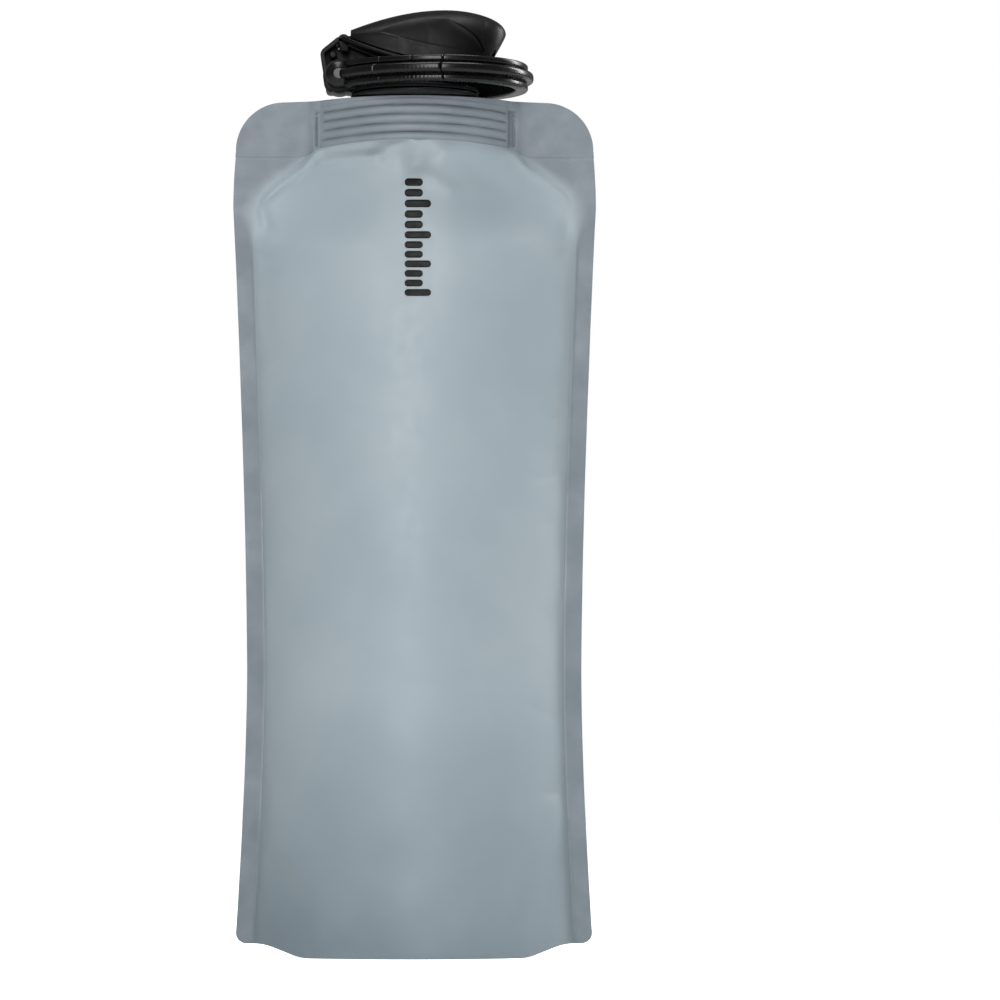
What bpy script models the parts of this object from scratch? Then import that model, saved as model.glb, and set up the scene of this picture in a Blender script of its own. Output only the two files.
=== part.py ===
"""Folding water bottle: a stand-up film pouch with a spout, screw cap, flip lid and carabiner.

Metres, +Z up. The origin is on the ground under the middle of the pouch, X runs across its width
and -Y is its front. The cap turns about the Z axis.
"""
import math

import bmesh
import bpy

# Pouch
HEIGHT_TO_FILM_TOP = 0.2736
FILM = 0.0006
HALF_SEAM_GAP = 0.00015
WAIST_HALF_WIDTH = 0.0534
WAIST_Z = 0.091
SHOULDER_HALF_WIDTH = 0.0582
SHOULDER_Z = 0.240
FOOT_HALF_WIDTH = 0.0570
TOP_CORNER_RADIUS = 0.0155
FOOT_CORNER_RADIUS = 0.0035
SIDE_WELD = 0.0057
FOOT_HALF_DEPTH = 0.0330
NECK_HALF_DEPTH = 0.0117
FITMENT_FILM_HALF_LENGTH = 0.0316
FITMENT_BOTTOM = 0.258
SHOULDER_SLOPE = 0.023
LENS_POWER = 0.85
EAR_LIFT = 0.0042
EAR_START = 0.033
EAR_END = 0.050
TOP_ARCH = 0.0009
GUSSET_HALF_LENGTH = 0.049
GUSSET_FLAT_HALF_LENGTH = 0.028
GUSSET_SIDE_RISE = 0.028
CLEARANCE = 0.0003

# Spout fitment
BOAT_HALF_LENGTH = 0.0305
BOAT_HALF_DEPTH = 0.0112
BOAT_TOP = 0.2732
FLANGE_RADIUS = 0.0205
FLANGE_BOTTOM = 0.2749
FLANGE_TOP = 0.2761
NECK_RADIUS = 0.0136
NECK_TOP = 0.2820
NECK_BORE = 0.0095
MOUTH_BORE = 0.0108
THREAD_PITCH = 0.004
THREAD_START_Z = 0.2776
THREAD_RIDGE = 0.0009

# Cap
CAP_BORE = 0.0149
CAP_RADIUS = 0.0166
CAP_BOTTOM = 0.2765
CAP_SHOULDER = 0.2836
CAP_CEILING = 0.2837
CAP_TOP = 0.2860
SKIRT_RADIUS = 0.0205
SKIRT_TOP = 0.2779
TURRET_RADIUS = 0.0142
SEAL_RECESS_RADIUS = 0.0135
SEAL_RECESS_BOTTOM = 0.2826
LUG_RADIUS = 0.00075
WEB_HALF_WIDTH = 0.0079
POCKET_DEPTH = 0.0014
DECK_THICKNESS = 0.0013
DECK_MARGIN = 0.0009
MOUTHPIECE_X = 0.002
MOUTHPIECE_SEAT_RADIUS = 0.0083
CHANNEL_RADIUS = 0.0045
WEB_FRONT_X = -0.0060
WEB_STEP_X = -0.0156
WEB_FRONT_Z = 0.2842
WEB_FOOT_Z = 0.2768
WEB_BACK_LOW_X = -0.0291
WEB_BACK_HIGH_X = -0.0304
WEB_SHOULDER_Z = 0.2885
WEB_STRAP = 0.0014

# Flip lid
LID_BACK = -0.0240
LID_WIDEST = 0.003
LID_NOSE = 0.0293
LID_HALF_WIDTH = 0.0170
LID_BACK_HALF_WIDTH = 0.0090
LID_CREST_X = 0.010
LID_CREST_Z = 0.3032
LID_NOSE_Z = 0.2956
LID_CHIN_X = 0.0223
LID_CHIN_Z = 0.2840
LID_WALL = 0.0018
LID_GAP = 0.0004
HINGE_X = -0.0228
HINGE_Z = 0.2929
HINGE_BARREL = 0.0019
LUG_ROOM_RADIUS = 0.0023
HINGE_TROUGH = 0.0032
HINGE_PIN = 0.0008
LID_KNUCKLE_HALF = 0.0040

# Carabiner
BAR_X = -0.0243
BAR_Z = 0.2815
BAR_RADIUS = 0.0026
EYELET_RADIUS = 0.0030
KNUCKLE_RADIUS = 0.0042
KNUCKLE_INNER = 0.0082
KNUCKLE_OUTER = 0.0125
RING_CENTRE_X = 0.0082
RING_RADIUS = 0.0270
RING_BACK_RADIUS = 0.0325
RING_INNER = -0.0030
RING_FLANGE = 0.0001
RING_RIB = 0.0030
RING_BOTTOM = 0.2773
RING_TOP = 0.2857
RIB_HALF_HEIGHT = 0.0019
RING_MIDDLE = (RING_BOTTOM + RING_TOP) / 2
GATE_PIN_X = -0.0155
GATE_PIN_OFFSET = -0.0014
GATE_NOSE_X = 0.0094
GATE_NOSE_GAP = 0.0004
GATE_LUG_REACH = 0.0022
GATE_BLADE_REACH = 0.0045
GATE_BOTTOM = 0.2783
GATE_TOP = 0.2852
GATE_KNUCKLE_BOTTOM = 0.2800
GATE_KNUCKLE_TOP = 0.2812
GATE_KNUCKLE_RADIUS = 0.0021
GATE_SLOT_RADIUS = 0.0029
GATE_SLOT_TOP = 0.28335
GATE_PIN_RADIUS = 0.0009
SPRING_RADIUS = 0.0017
SPRING_WIRE = 0.00025

SEGMENTS = 40

PARTS = "folding_water_bottle"
CUTTERS = "cutters"

BLACK_PLASTIC = (0.012, 0.012, 0.014)
FILM_COLOUR = (0.36, 0.42, 0.46)
RUBBER = (0.03, 0.03, 0.03)
STEEL = (0.55, 0.55, 0.56)


# Scene and object helpers

def clear_scene():
    for item in list(bpy.data.objects):
        bpy.data.objects.remove(item)


def make_collection(name):
    collection = bpy.data.collections.new(name)
    bpy.context.scene.collection.children.link(collection)
    return collection


def make_material(name, colour, roughness, metallic=0.0):
    material = bpy.data.materials.new(name)
    material.use_nodes = True
    shader = material.node_tree.nodes["Principled BSDF"]
    shader.inputs["Base Color"].default_value = (*colour, 1.0)
    shader.inputs["Roughness"].default_value = roughness
    shader.inputs["Metallic"].default_value = metallic
    return material


def new_object(name, mesh, material=None):
    """A sub-part when it has a material, otherwise a tool body that shapes other objects."""
    item = bpy.data.objects.new(name, mesh)
    if material:
        mesh.materials.clear()
        mesh.materials.append(material)
        bpy.data.collections[PARTS].objects.link(item)
    else:
        bpy.data.collections[CUTTERS].objects.link(item)
        item.hide_render = True
        item.display_type = "WIRE"
    return item


def mesh_from_bmesh(name, shape):
    mesh = bpy.data.meshes.new(name)
    shape.to_mesh(mesh)
    shape.free()
    return mesh


def combine(target, tool, operation):
    """Leave a Boolean on the target: UNION, DIFFERENCE or INTERSECT with the tool."""
    modifier = target.modifiers.new(f"{operation.lower()} {tool.name}", "BOOLEAN")
    modifier.operation = operation
    modifier.object = tool
    modifier.solver = "EXACT"


def surface(name, rows, material=None):
    """An open surface through rows of points, one quad between neighbours."""
    shape = bmesh.new()
    grid = [[shape.verts.new(point) for point in row] for row in rows]
    for low, high in zip(grid, grid[1:]):
        for i in range(len(low) - 1):
            shape.faces.new((low[i], low[i + 1], high[i + 1], high[i]))
    return new_object(name, mesh_from_bmesh(name, shape), material)


def loft(name, rings, material=None):
    """A closed solid through rings of points that run the same way round, capped at both ends."""
    shape = bmesh.new()
    loops = [[shape.verts.new(point) for point in ring] for ring in rings]
    for near, far in zip(loops, loops[1:]):
        count = len(near)
        for i in range(count):
            j = (i + 1) % count
            shape.faces.new((near[i], near[j], far[j], far[i]))
    bmesh.ops.triangulate(shape, faces=shape.faces)
    shape.faces.new(loops[0])
    shape.faces.new(loops[-1])
    bmesh.ops.recalc_face_normals(shape, faces=shape.faces)
    return new_object(name, mesh_from_bmesh(name, shape), material)


def turned(name, profile, centre_x=0.0, material=None):
    """A solid turned about a vertical axis from (radius, height) points, outer side downwards."""
    shape = bmesh.new()
    points = [shape.verts.new((radius, 0.0, height)) for radius, height in profile]
    for upper, lower in zip(points, points[1:]):
        shape.edges.new((upper, lower))
    if profile[0][0] > 0.0:
        shape.edges.new((points[-1], points[0]))
    item = new_object(name, mesh_from_bmesh(name, shape), material)
    item.location.x = centre_x
    screw = item.modifiers.new("turn", "SCREW")
    screw.steps = SEGMENTS
    screw.render_steps = SEGMENTS
    screw.use_merge_vertices = True
    screw.merge_threshold = 0.00001
    return item


def upright_cylinder(name, radius, bottom, top, x, y=0.0, material=None):
    shape = bmesh.new()
    bmesh.ops.create_cone(shape, cap_ends=True, segments=SEGMENTS, radius1=radius, radius2=radius,
                          depth=top - bottom)
    item = new_object(name, mesh_from_bmesh(name, shape), material)
    item.location = (x, y, (bottom + top) / 2)
    return item


def cross_cylinder(name, radius, y_from, y_to, x, z, material=None):
    """A cylinder along Y."""
    shape = bmesh.new()
    bmesh.ops.create_cone(shape, cap_ends=True, segments=SEGMENTS, radius1=radius, radius2=radius,
                          depth=y_to - y_from)
    item = new_object(name, mesh_from_bmesh(name, shape), material)
    item.location = (x, (y_from + y_to) / 2, z)
    item.rotation_euler = (math.pi / 2, 0.0, 0.0)
    return item


def mesh_from_curve(name, curve, material=None, location=(0.0, 0.0, 0.0), turn_upright=False):
    """Turn a curve into a welded mesh object at a place, upright when its plane is XZ."""
    guide = bpy.data.objects.new(name + "_curve", curve)
    bpy.data.collections[CUTTERS].objects.link(guide)
    guide.location = location
    if turn_upright:
        guide.rotation_euler = (math.pi / 2, 0.0, 0.0)
    bpy.context.view_layer.update()
    evaluated = guide.evaluated_get(bpy.context.evaluated_depsgraph_get())
    mesh = bpy.data.meshes.new_from_object(evaluated)
    shape = bmesh.new()
    shape.from_mesh(mesh)
    bmesh.ops.remove_doubles(shape, verts=shape.verts, dist=0.000005)
    bmesh.ops.recalc_face_normals(shape, faces=shape.faces)
    shape.to_mesh(mesh)
    shape.free()
    item = new_object(name, mesh, material)
    item.matrix_world = guide.matrix_world.copy()
    bpy.data.objects.remove(guide)
    return item


def outline_curve(name, points, half_thickness):
    curve = bpy.data.curves.new(name, "CURVE")
    curve.dimensions = "2D"
    curve.fill_mode = "BOTH"
    curve.extrude = half_thickness
    spline = curve.splines.new("POLY")
    spline.points.add(len(points) - 1)
    for control, (x, y) in zip(spline.points, points):
        control.co = (x, y, 0.0, 1.0)
    spline.use_cyclic_u = True
    return curve


def plan_solid(name, points, bottom, top, material=None):
    """A flat outline in XY, extruded from bottom to top."""
    curve = outline_curve(name, points, (top - bottom) / 2)
    return mesh_from_curve(name, curve, material, (0.0, 0.0, (bottom + top) / 2))


def side_solid(name, points, y_from, y_to, material=None):
    """An outline of (x, z) points in the side view, extruded along Y."""
    curve = outline_curve(name, points, (y_to - y_from) / 2)
    return mesh_from_curve(name, curve, material, (0.0, (y_from + y_to) / 2, 0.0), turn_upright=True)


def wire(name, points, radius, material=None):
    curve = bpy.data.curves.new(name, "CURVE")
    curve.dimensions = "3D"
    curve.bevel_depth = radius
    curve.bevel_resolution = 2
    curve.use_fill_caps = True
    spline = curve.splines.new("POLY")
    spline.points.add(len(points) - 1)
    for control, point in zip(spline.points, points):
        control.co = (*point, 1.0)
    return mesh_from_curve(name, curve, material)


def shade(item, degrees=35.0):
    item.data.shade_smooth()
    item.data.set_sharp_from_angle(angle=math.radians(degrees))


def joint_empty(name, location):
    empty = bpy.data.objects.new(name, None)
    empty.empty_display_size = 0.01
    empty.location = location
    bpy.data.collections[PARTS].objects.link(empty)
    return empty


def hang_on(empty, *items):
    """Parent pieces to an empty on their joint's axis and leave them where they are."""
    bpy.context.view_layer.update()
    for item in items:
        item.parent = empty
        item.matrix_parent_inverse = empty.matrix_world.inverted()


# Shape formulas

def clamp(value):
    return min(1.0, max(0.0, value))


def smooth(value):
    share = clamp(value)
    return share * share * (3.0 - 2.0 * share)


def pouch_half_width(z):
    """Half the pouch's width: a waist, wider shoulders, and round corners at top and foot."""
    top_corner_z = HEIGHT_TO_FILM_TOP - TOP_CORNER_RADIUS
    top_half_width = SHOULDER_HALF_WIDTH - 0.0008
    if z > top_corner_z:
        rise = min(z - top_corner_z, TOP_CORNER_RADIUS)
        return top_half_width - TOP_CORNER_RADIUS + math.sqrt(TOP_CORNER_RADIUS ** 2 - rise ** 2)
    if z > SHOULDER_Z:
        share = (z - SHOULDER_Z) / (top_corner_z - SHOULDER_Z)
        return SHOULDER_HALF_WIDTH + (top_half_width - SHOULDER_HALF_WIDTH) * share ** 2
    if z > WAIST_Z:
        share = (z - WAIST_Z) / (SHOULDER_Z - WAIST_Z)
        return WAIST_HALF_WIDTH + (SHOULDER_HALF_WIDTH - WAIST_HALF_WIDTH) * share ** 1.5
    share = (WAIST_Z - max(z, FOOT_CORNER_RADIUS)) / WAIST_Z
    width = WAIST_HALF_WIDTH + (FOOT_HALF_WIDTH - WAIST_HALF_WIDTH) * share ** 1.6
    drop = max(0.0, FOOT_CORNER_RADIUS - z)
    return width - FOOT_CORNER_RADIUS + math.sqrt(FOOT_CORNER_RADIUS ** 2 - drop ** 2)


def lens(share):
    """Height of the pouch's cross-section, 1 in the middle and 0 at its welds."""
    return max(0.0, 1.0 - share * share) ** LENS_POWER


def film_depth(x, z):
    """How far the film's inner face stands from the middle plane."""
    half_width = pouch_half_width(max(z, FOOT_CORNER_RADIUS)) - SIDE_WELD
    shoulder = clamp((FITMENT_BOTTOM - z) / SHOULDER_SLOPE)
    opened = 1.0 - (1.0 - shoulder) ** 2.3
    blown_half_width = FITMENT_FILM_HALF_LENGTH + (half_width - FITMENT_FILM_HALF_LENGTH) * opened
    fullness = 1.0 - (min(z, FITMENT_BOTTOM) / FITMENT_BOTTOM) ** 3
    half_depth = NECK_HALF_DEPTH + (FOOT_HALF_DEPTH - FILM - NECK_HALF_DEPTH) * fullness
    return HALF_SEAM_GAP + half_depth * lens(x / blown_half_width)


def ear_lift(x):
    return EAR_LIFT * smooth((abs(x) - EAR_START) / (EAR_END - EAR_START))


def film_rows():
    """Heights of the film's rows, closer together where the outline turns a corner."""
    foot = [0.0, 0.3 * FOOT_CORNER_RADIUS, FOOT_CORNER_RADIUS]
    top_corner_z = HEIGHT_TO_FILM_TOP - TOP_CORNER_RADIUS
    shoulder_start = FITMENT_BOTTOM - SHOULDER_SLOPE
    body_steps = 9
    body = [FOOT_CORNER_RADIUS + (shoulder_start - FOOT_CORNER_RADIUS) * i / body_steps
            for i in range(1, body_steps + 1)]
    shoulder_steps = 4
    shoulder = [shoulder_start + (top_corner_z - shoulder_start) * i / shoulder_steps
                for i in range(1, shoulder_steps + 1)]
    corner_steps = 5
    corner = [top_corner_z + TOP_CORNER_RADIUS * math.sin(math.pi / 2 * i / corner_steps)
              for i in range(1, corner_steps + 1)]
    return foot + body + shoulder + corner


def film_columns():
    """Shares of the half-width: the weld's edge, then even steps of a sine across the belly."""
    weld_share = 0.9
    steps = 18
    belly = [weld_share * math.sin(math.pi / 2 * (2 * i / steps - 1)) for i in range(steps + 1)]
    return [-1.0] + belly + [1.0]


def lid_half_width(x):
    if x < LID_WIDEST:
        share = (LID_WIDEST - x) / (LID_WIDEST - LID_BACK)
        return LID_BACK_HALF_WIDTH + (LID_HALF_WIDTH - LID_BACK_HALF_WIDTH) * math.sqrt(1.0 - share ** 2)
    share = (x - LID_WIDEST) / (LID_NOSE - LID_WIDEST)
    return LID_HALF_WIDTH * (1.0 - share ** 2.4) ** (1.0 / 2.4)


def lid_top(x):
    if x < LID_CREST_X:
        share = (LID_CREST_X - x) / (LID_CREST_X - LID_BACK)
        return LID_CREST_Z - 0.0084 * share ** 1.9
    share = (x - LID_CREST_X) / (LID_NOSE - LID_CREST_X)
    return LID_NOSE_Z + (LID_CREST_Z - LID_NOSE_Z) * math.sqrt(1.0 - share ** 2)


def lid_bottom(x):
    """The lid's sagging lower edge, then its chin, which climbs to the nose."""
    if x < LID_CHIN_X:
        share = (LID_CHIN_X - x) / (LID_CHIN_X - LID_BACK)
        return LID_CHIN_Z + 0.0105 * share ** 2.2
    share = (x - LID_CHIN_X) / (LID_NOSE - LID_CHIN_X)
    return LID_CHIN_Z + (LID_NOSE_Z - LID_CHIN_Z) * share


def lid_ring(x, inset, drop):
    """One cross-section of the lid: straight lower sides and a rounded top."""
    half_width = lid_half_width(x) - inset
    top = lid_top(x) - inset
    bottom = lid_bottom(x) - drop
    points = [(x, -half_width, bottom)]
    steps = 10
    power = 2.0 / 2.6
    for i in range(steps + 1):
        angle = math.pi * i / steps
        side = -math.copysign(abs(math.cos(angle)) ** power, math.cos(angle))
        rise = math.sin(angle) ** power
        points.append((x, half_width * side, bottom + (top - bottom) * (0.15 + 0.85 * rise)))
    points.append((x, half_width, bottom))
    return points


def stations(start, end, steps):
    """Places along X that crowd towards the end, where the lid's nose turns fastest."""
    return [start + (end - start) * math.sin(math.pi / 2 * i / steps) for i in range(steps + 1)]


def ring_point(angle, offset):
    """A point beside the carabiner's centre line: a round bow, and a longer back half."""
    reach = RING_RADIUS if math.cos(angle) >= 0.0 else RING_BACK_RADIUS
    normal = (math.cos(angle) / reach, math.sin(angle) / RING_RADIUS)
    length = math.hypot(*normal)
    return (RING_CENTRE_X + reach * math.cos(angle) + offset * normal[0] / length,
            RING_RADIUS * math.sin(angle) + offset * normal[1] / length)


def near_side_angle(x):
    """The angle at which the ring's near side, towards -Y, passes x."""
    reach = RING_RADIUS if x >= RING_CENTRE_X else RING_BACK_RADIUS
    return -math.acos((x - RING_CENTRE_X) / reach)


def gate_pin_place():
    return ring_point(near_side_angle(GATE_PIN_X), GATE_PIN_OFFSET)


def upright_end(angle):
    """An end of a stretch of ring that is square to the ring."""
    return lambda offset: angle


def nose_end(gap):
    """An end square to the line from the gate's pin to its nose, so that the gate swings clear."""
    pin_x, pin_y = gate_pin_place()
    nose_x, nose_y = ring_point(near_side_angle(GATE_NOSE_X), 0.0)
    reach = math.hypot(nose_x - pin_x, nose_y - pin_y)
    along = ((nose_x - pin_x) / reach, (nose_y - pin_y) / reach)

    def angle_at(offset):
        low = near_side_angle(0.0)
        high = near_side_angle(2 * GATE_NOSE_X)
        for _ in range(40):
            middle = (low + high) / 2
            x, y = ring_point(middle, offset)
            if (x - pin_x) * along[0] + (y - pin_y) * along[1] < reach - gap:
                low = middle
            else:
                high = middle
        return low

    return angle_at


def ring_stretch(name, start, end, bottom, top, steps, material=None):
    """A stretch of ring between two ends: a tall flange with a wider rib along its middle."""
    low_rib = RING_MIDDLE - RIB_HALF_HEIGHT
    high_rib = RING_MIDDLE + RIB_HALF_HEIGHT
    section = [(RING_INNER, bottom), (RING_FLANGE, bottom), (RING_FLANGE, low_rib),
               (RING_RIB, low_rib), (RING_RIB, high_rib), (RING_FLANGE, high_rib),
               (RING_FLANGE, top), (RING_INNER, top)]
    rings = []
    for i in range(steps + 1):
        share = i / steps
        ring = []
        for offset, z in section:
            angle = start(offset) + (end(offset) - start(offset)) * share
            ring.append((*ring_point(angle, offset), z))
        rings.append(ring)
    return loft(name, rings, material)


# Pouch

def make_film(name, side, material):
    """One wall of the pouch; side is -1 for the front and 1 for the back."""
    rows = []
    fade_height = 0.06
    for level in film_rows():
        half_width = pouch_half_width(level)
        row = []
        for share in film_columns():
            x = share * half_width * -side
            z = level + ear_lift(x) * clamp(1.0 - level / fade_height)
            z += TOP_ARCH * clamp(1.0 - (x / 0.042) ** 2) * clamp((level - FITMENT_BOTTOM) / 0.0156)
            row.append((x, side * film_depth(x, level), z))
        rows.append(row)
    film = surface(name, rows, material)
    shell = film.modifiers.new("film thickness", "SOLIDIFY")
    shell.thickness = FILM
    shell.offset = 1.0
    shade(film, 60.0)
    return film


def make_gusset(material):
    """The folded film floor: flat under the middle and rising to its fold at both sides."""
    columns = 21
    cross_steps = 10
    rows = []
    for i in range(columns):
        x = GUSSET_HALF_LENGTH * (2 * i / (columns - 1) - 1)
        half_depth = film_depth(x, 0.0) - CLEARANCE - 0.0001
        rise = GUSSET_SIDE_RISE * clamp((abs(x) - GUSSET_FLAT_HALF_LENGTH) / 0.024) ** 1.5
        row = []
        for j in range(cross_steps + 1):
            share = math.sin(math.pi / 2 * (2 * j / cross_steps - 1))
            z = FILM + ear_lift(x) + max(0.0, rise - ear_lift(x)) * (1.0 - share ** 2) ** 0.7
            row.append((x, share * half_depth, z))
        rows.append(row)
    gusset = surface("gusset_film", rows, material)
    shell = gusset.modifiers.new("film thickness", "SOLIDIFY")
    shell.thickness = FILM
    shell.offset = 1.0
    shade(gusset, 60.0)
    return gusset


def helix(start_degrees, end_degrees, radius, start_z):
    step = 10
    return [(radius * math.cos(math.radians(angle)), radius * math.sin(math.radians(angle)),
             start_z + THREAD_PITCH * angle / 360.0)
            for angle in range(start_degrees, end_degrees + 1, step)]


def make_fitment(material):
    """A boat-shaped weld base with a flange and a threaded neck, bored through."""
    steps = 14
    shares = [math.sin(math.pi / 2 * (2 * i / steps - 1)) for i in range(steps + 1)]
    front = [(BOAT_HALF_LENGTH * s, -BOAT_HALF_DEPTH * lens(s)) for s in shares]
    back = [(BOAT_HALF_LENGTH * s, BOAT_HALF_DEPTH * lens(s)) for s in reversed(shares[1:-1])]
    fitment = plan_solid("spout_fitment", front + back, FITMENT_BOTTOM, BOAT_TOP, material)
    core_radius = 0.0110
    core_bottom = 0.2700
    neck = turned("neck", [
        (0.0, NECK_TOP), (NECK_RADIUS, NECK_TOP), (NECK_RADIUS, FLANGE_TOP),
        (FLANGE_RADIUS, FLANGE_TOP), (FLANGE_RADIUS, FLANGE_BOTTOM), (core_radius, FLANGE_BOTTOM),
        (core_radius, core_bottom), (0.0, core_bottom)])
    combine(fitment, neck, "UNION")
    thread_radius = NECK_RADIUS + 0.0001
    thread = wire("thread", helix(30, 370, thread_radius, THREAD_START_Z), THREAD_RIDGE)
    combine(fitment, thread, "UNION")
    over = 0.002
    bore = turned("neck_bore", [
        (0.0, NECK_TOP + over), (MOUTH_BORE, NECK_TOP + over), (MOUTH_BORE, FLANGE_TOP),
        (NECK_BORE, FLANGE_BOTTOM), (NECK_BORE, FITMENT_BOTTOM - over), (0.0, FITMENT_BOTTOM - over)])
    combine(fitment, bore, "DIFFERENCE")
    return fitment


# Cap

def make_deck():
    """The cap's curved top plate, which follows the lid's lower edge."""
    rings = []
    steps = 22
    start = LID_BACK + 0.0005
    for i in range(steps + 1):
        x = start + (LID_CHIN_X - start) * i / steps
        half_width = lid_half_width(x) + DECK_MARGIN
        top = lid_bottom(x) - LID_GAP
        bottom = top - DECK_THICKNESS
        rings.append([(x, -half_width, top), (x, half_width, top),
                      (x, half_width, bottom), (x, -half_width, bottom)])
    return loft("deck", rings)


def make_web(name, y_from, y_to):
    """The upright web under the deck's back end, which carries the eyelet."""
    top_start = LID_BACK - 0.0005
    steps = 3
    drop = LID_GAP + DECK_THICKNESS / 2
    under_deck = []
    for i in range(steps + 1):
        x = top_start + (WEB_FRONT_X - top_start) * i / steps
        under_deck.append((x, lid_bottom(max(x, LID_BACK)) - drop))
    foot_cut = 0.0008
    return side_solid(name, under_deck + [
        (WEB_FRONT_X, WEB_FRONT_Z), (WEB_STEP_X, WEB_FRONT_Z), (WEB_STEP_X, WEB_FOOT_Z),
        (WEB_BACK_LOW_X + foot_cut, WEB_FOOT_Z), (WEB_BACK_LOW_X, WEB_FOOT_Z + foot_cut),
        (WEB_BACK_HIGH_X, WEB_SHOULDER_Z), (WEB_BACK_HIGH_X + WEB_STRAP / 2, WEB_SHOULDER_Z + WEB_STRAP)],
        y_from, y_to)


def make_pocket(name, y_from, y_to):
    """The sunk panel in the web's side, inside a narrow strap."""
    front_x = WEB_STEP_X - WEB_STRAP
    back_top_x = LID_BACK - WEB_STRAP
    return side_solid(name, [
        (back_top_x, lid_bottom(LID_BACK) - 2 * WEB_STRAP), (front_x, WEB_SHOULDER_Z),
        (front_x, WEB_FOOT_Z + WEB_STRAP), (WEB_BACK_LOW_X + WEB_STRAP, WEB_FOOT_Z + WEB_STRAP),
        (WEB_BACK_HIGH_X + WEB_STRAP, WEB_SHOULDER_Z)], y_from, y_to)


def make_cap_body(material):
    cap = turned("cap_body", [
        (0.0, CAP_TOP), (TURRET_RADIUS, CAP_TOP), (TURRET_RADIUS, CAP_SHOULDER + 0.0012),
        (CAP_RADIUS, CAP_SHOULDER), (CAP_RADIUS, SKIRT_TOP + 0.0007), (SKIRT_RADIUS, SKIRT_TOP),
        (SKIRT_RADIUS, CAP_BOTTOM), (0.0, CAP_BOTTOM)], material=material)
    combine(cap, make_deck(), "UNION")
    combine(cap, make_web("web", -WEB_HALF_WIDTH, WEB_HALF_WIDTH), "UNION")
    outside = WEB_HALF_WIDTH + 0.002
    inside = WEB_HALF_WIDTH - POCKET_DEPTH
    combine(cap, make_pocket("front_pocket", -outside, -inside), "DIFFERENCE")
    combine(cap, make_pocket("back_pocket", inside, outside), "DIFFERENCE")
    trough = cross_cylinder("hinge_trough", HINGE_TROUGH, -0.013, 0.013, HINGE_X, HINGE_Z)
    combine(cap, trough, "DIFFERENCE")
    for name, side in (("front_hinge_lug", -1), ("back_hinge_lug", 1)):
        inner = side * (LID_KNUCKLE_HALF + CLEARANCE)
        outer = side * (WEB_HALF_WIDTH - 0.0002)
        lug = side_solid(name, hinge_lug_outline(), min(inner, outer), max(inner, outer))
        combine(cap, lug, "UNION")
    pin_hole = cross_cylinder("cap_pin_hole", HINGE_PIN + CLEARANCE, -0.0085, 0.0085, HINGE_X, HINGE_Z)
    combine(cap, pin_hole, "DIFFERENCE")
    eyelet = cross_cylinder("eyelet", EYELET_RADIUS, -0.013, 0.013, BAR_X, BAR_Z)
    combine(cap, eyelet, "DIFFERENCE")
    below = CAP_BOTTOM - 0.002
    cavity = turned("cap_cavity", [
        (0.0, CAP_CEILING), (SEAL_RECESS_RADIUS, CAP_CEILING), (SEAL_RECESS_RADIUS, SEAL_RECESS_BOTTOM),
        (CAP_BORE, SEAL_RECESS_BOTTOM), (CAP_BORE, below), (0.0, below)])
    combine(cap, cavity, "DIFFERENCE")
    seat = upright_cylinder("mouthpiece_seat", MOUTHPIECE_SEAT_RADIUS, CAP_TOP - 0.00005, LID_NOSE_Z,
                            MOUTHPIECE_X)
    combine(cap, seat, "DIFFERENCE")
    channel = upright_cylinder("channel", CHANNEL_RADIUS, CAP_CEILING - 0.003, CAP_TOP + 0.003,
                               MOUTHPIECE_X)
    combine(cap, channel, "DIFFERENCE")
    lug_radius = CAP_BORE - 0.00015
    upper = wire("upper_thread_lug", helix(0, 60, lug_radius, THREAD_START_Z + THREAD_PITCH / 2),
                 LUG_RADIUS)
    lower = wire("lower_thread_lug", helix(180, 240, lug_radius, THREAD_START_Z - THREAD_PITCH / 2),
                 LUG_RADIUS)
    combine(cap, upper, "UNION")
    combine(cap, lower, "UNION")
    return cap


def hinge_lug_outline():
    """A barrel round the hinge axis with a foot that reaches down into the web."""
    steps = 16
    arc = [(HINGE_X + HINGE_BARREL * math.cos(math.radians(-20.0 + 220.0 * i / steps)),
            HINGE_Z + HINGE_BARREL * math.sin(math.radians(-20.0 + 220.0 * i / steps)))
           for i in range(steps + 1)]
    foot_z = HINGE_Z - 0.0036
    return arc + [(HINGE_X - 0.0016, foot_z), (HINGE_X + 0.0016, foot_z)]


def make_seal(material):
    inner = 0.0098
    outer = 0.0132
    bottom = NECK_TOP + CLEARANCE
    top = CAP_CEILING - CLEARANCE
    return turned("cap_seal", [(outer, top), (outer, bottom), (inner, bottom), (inner, top)],
                  material=material)


def make_mouthpiece(material):
    bottom = CAP_TOP + CLEARANCE
    return turned("mouthpiece", [
        (0.0055, 0.2950), (0.0060, 0.2945), (0.0062, 0.2915), (0.0052, 0.2895),
        (0.0060, 0.2878), (0.0078, 0.2874), (0.0078, bottom), (0.0030, bottom),
        (0.0030, 0.2950)], MOUTHPIECE_X, material)


# Lid

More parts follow.
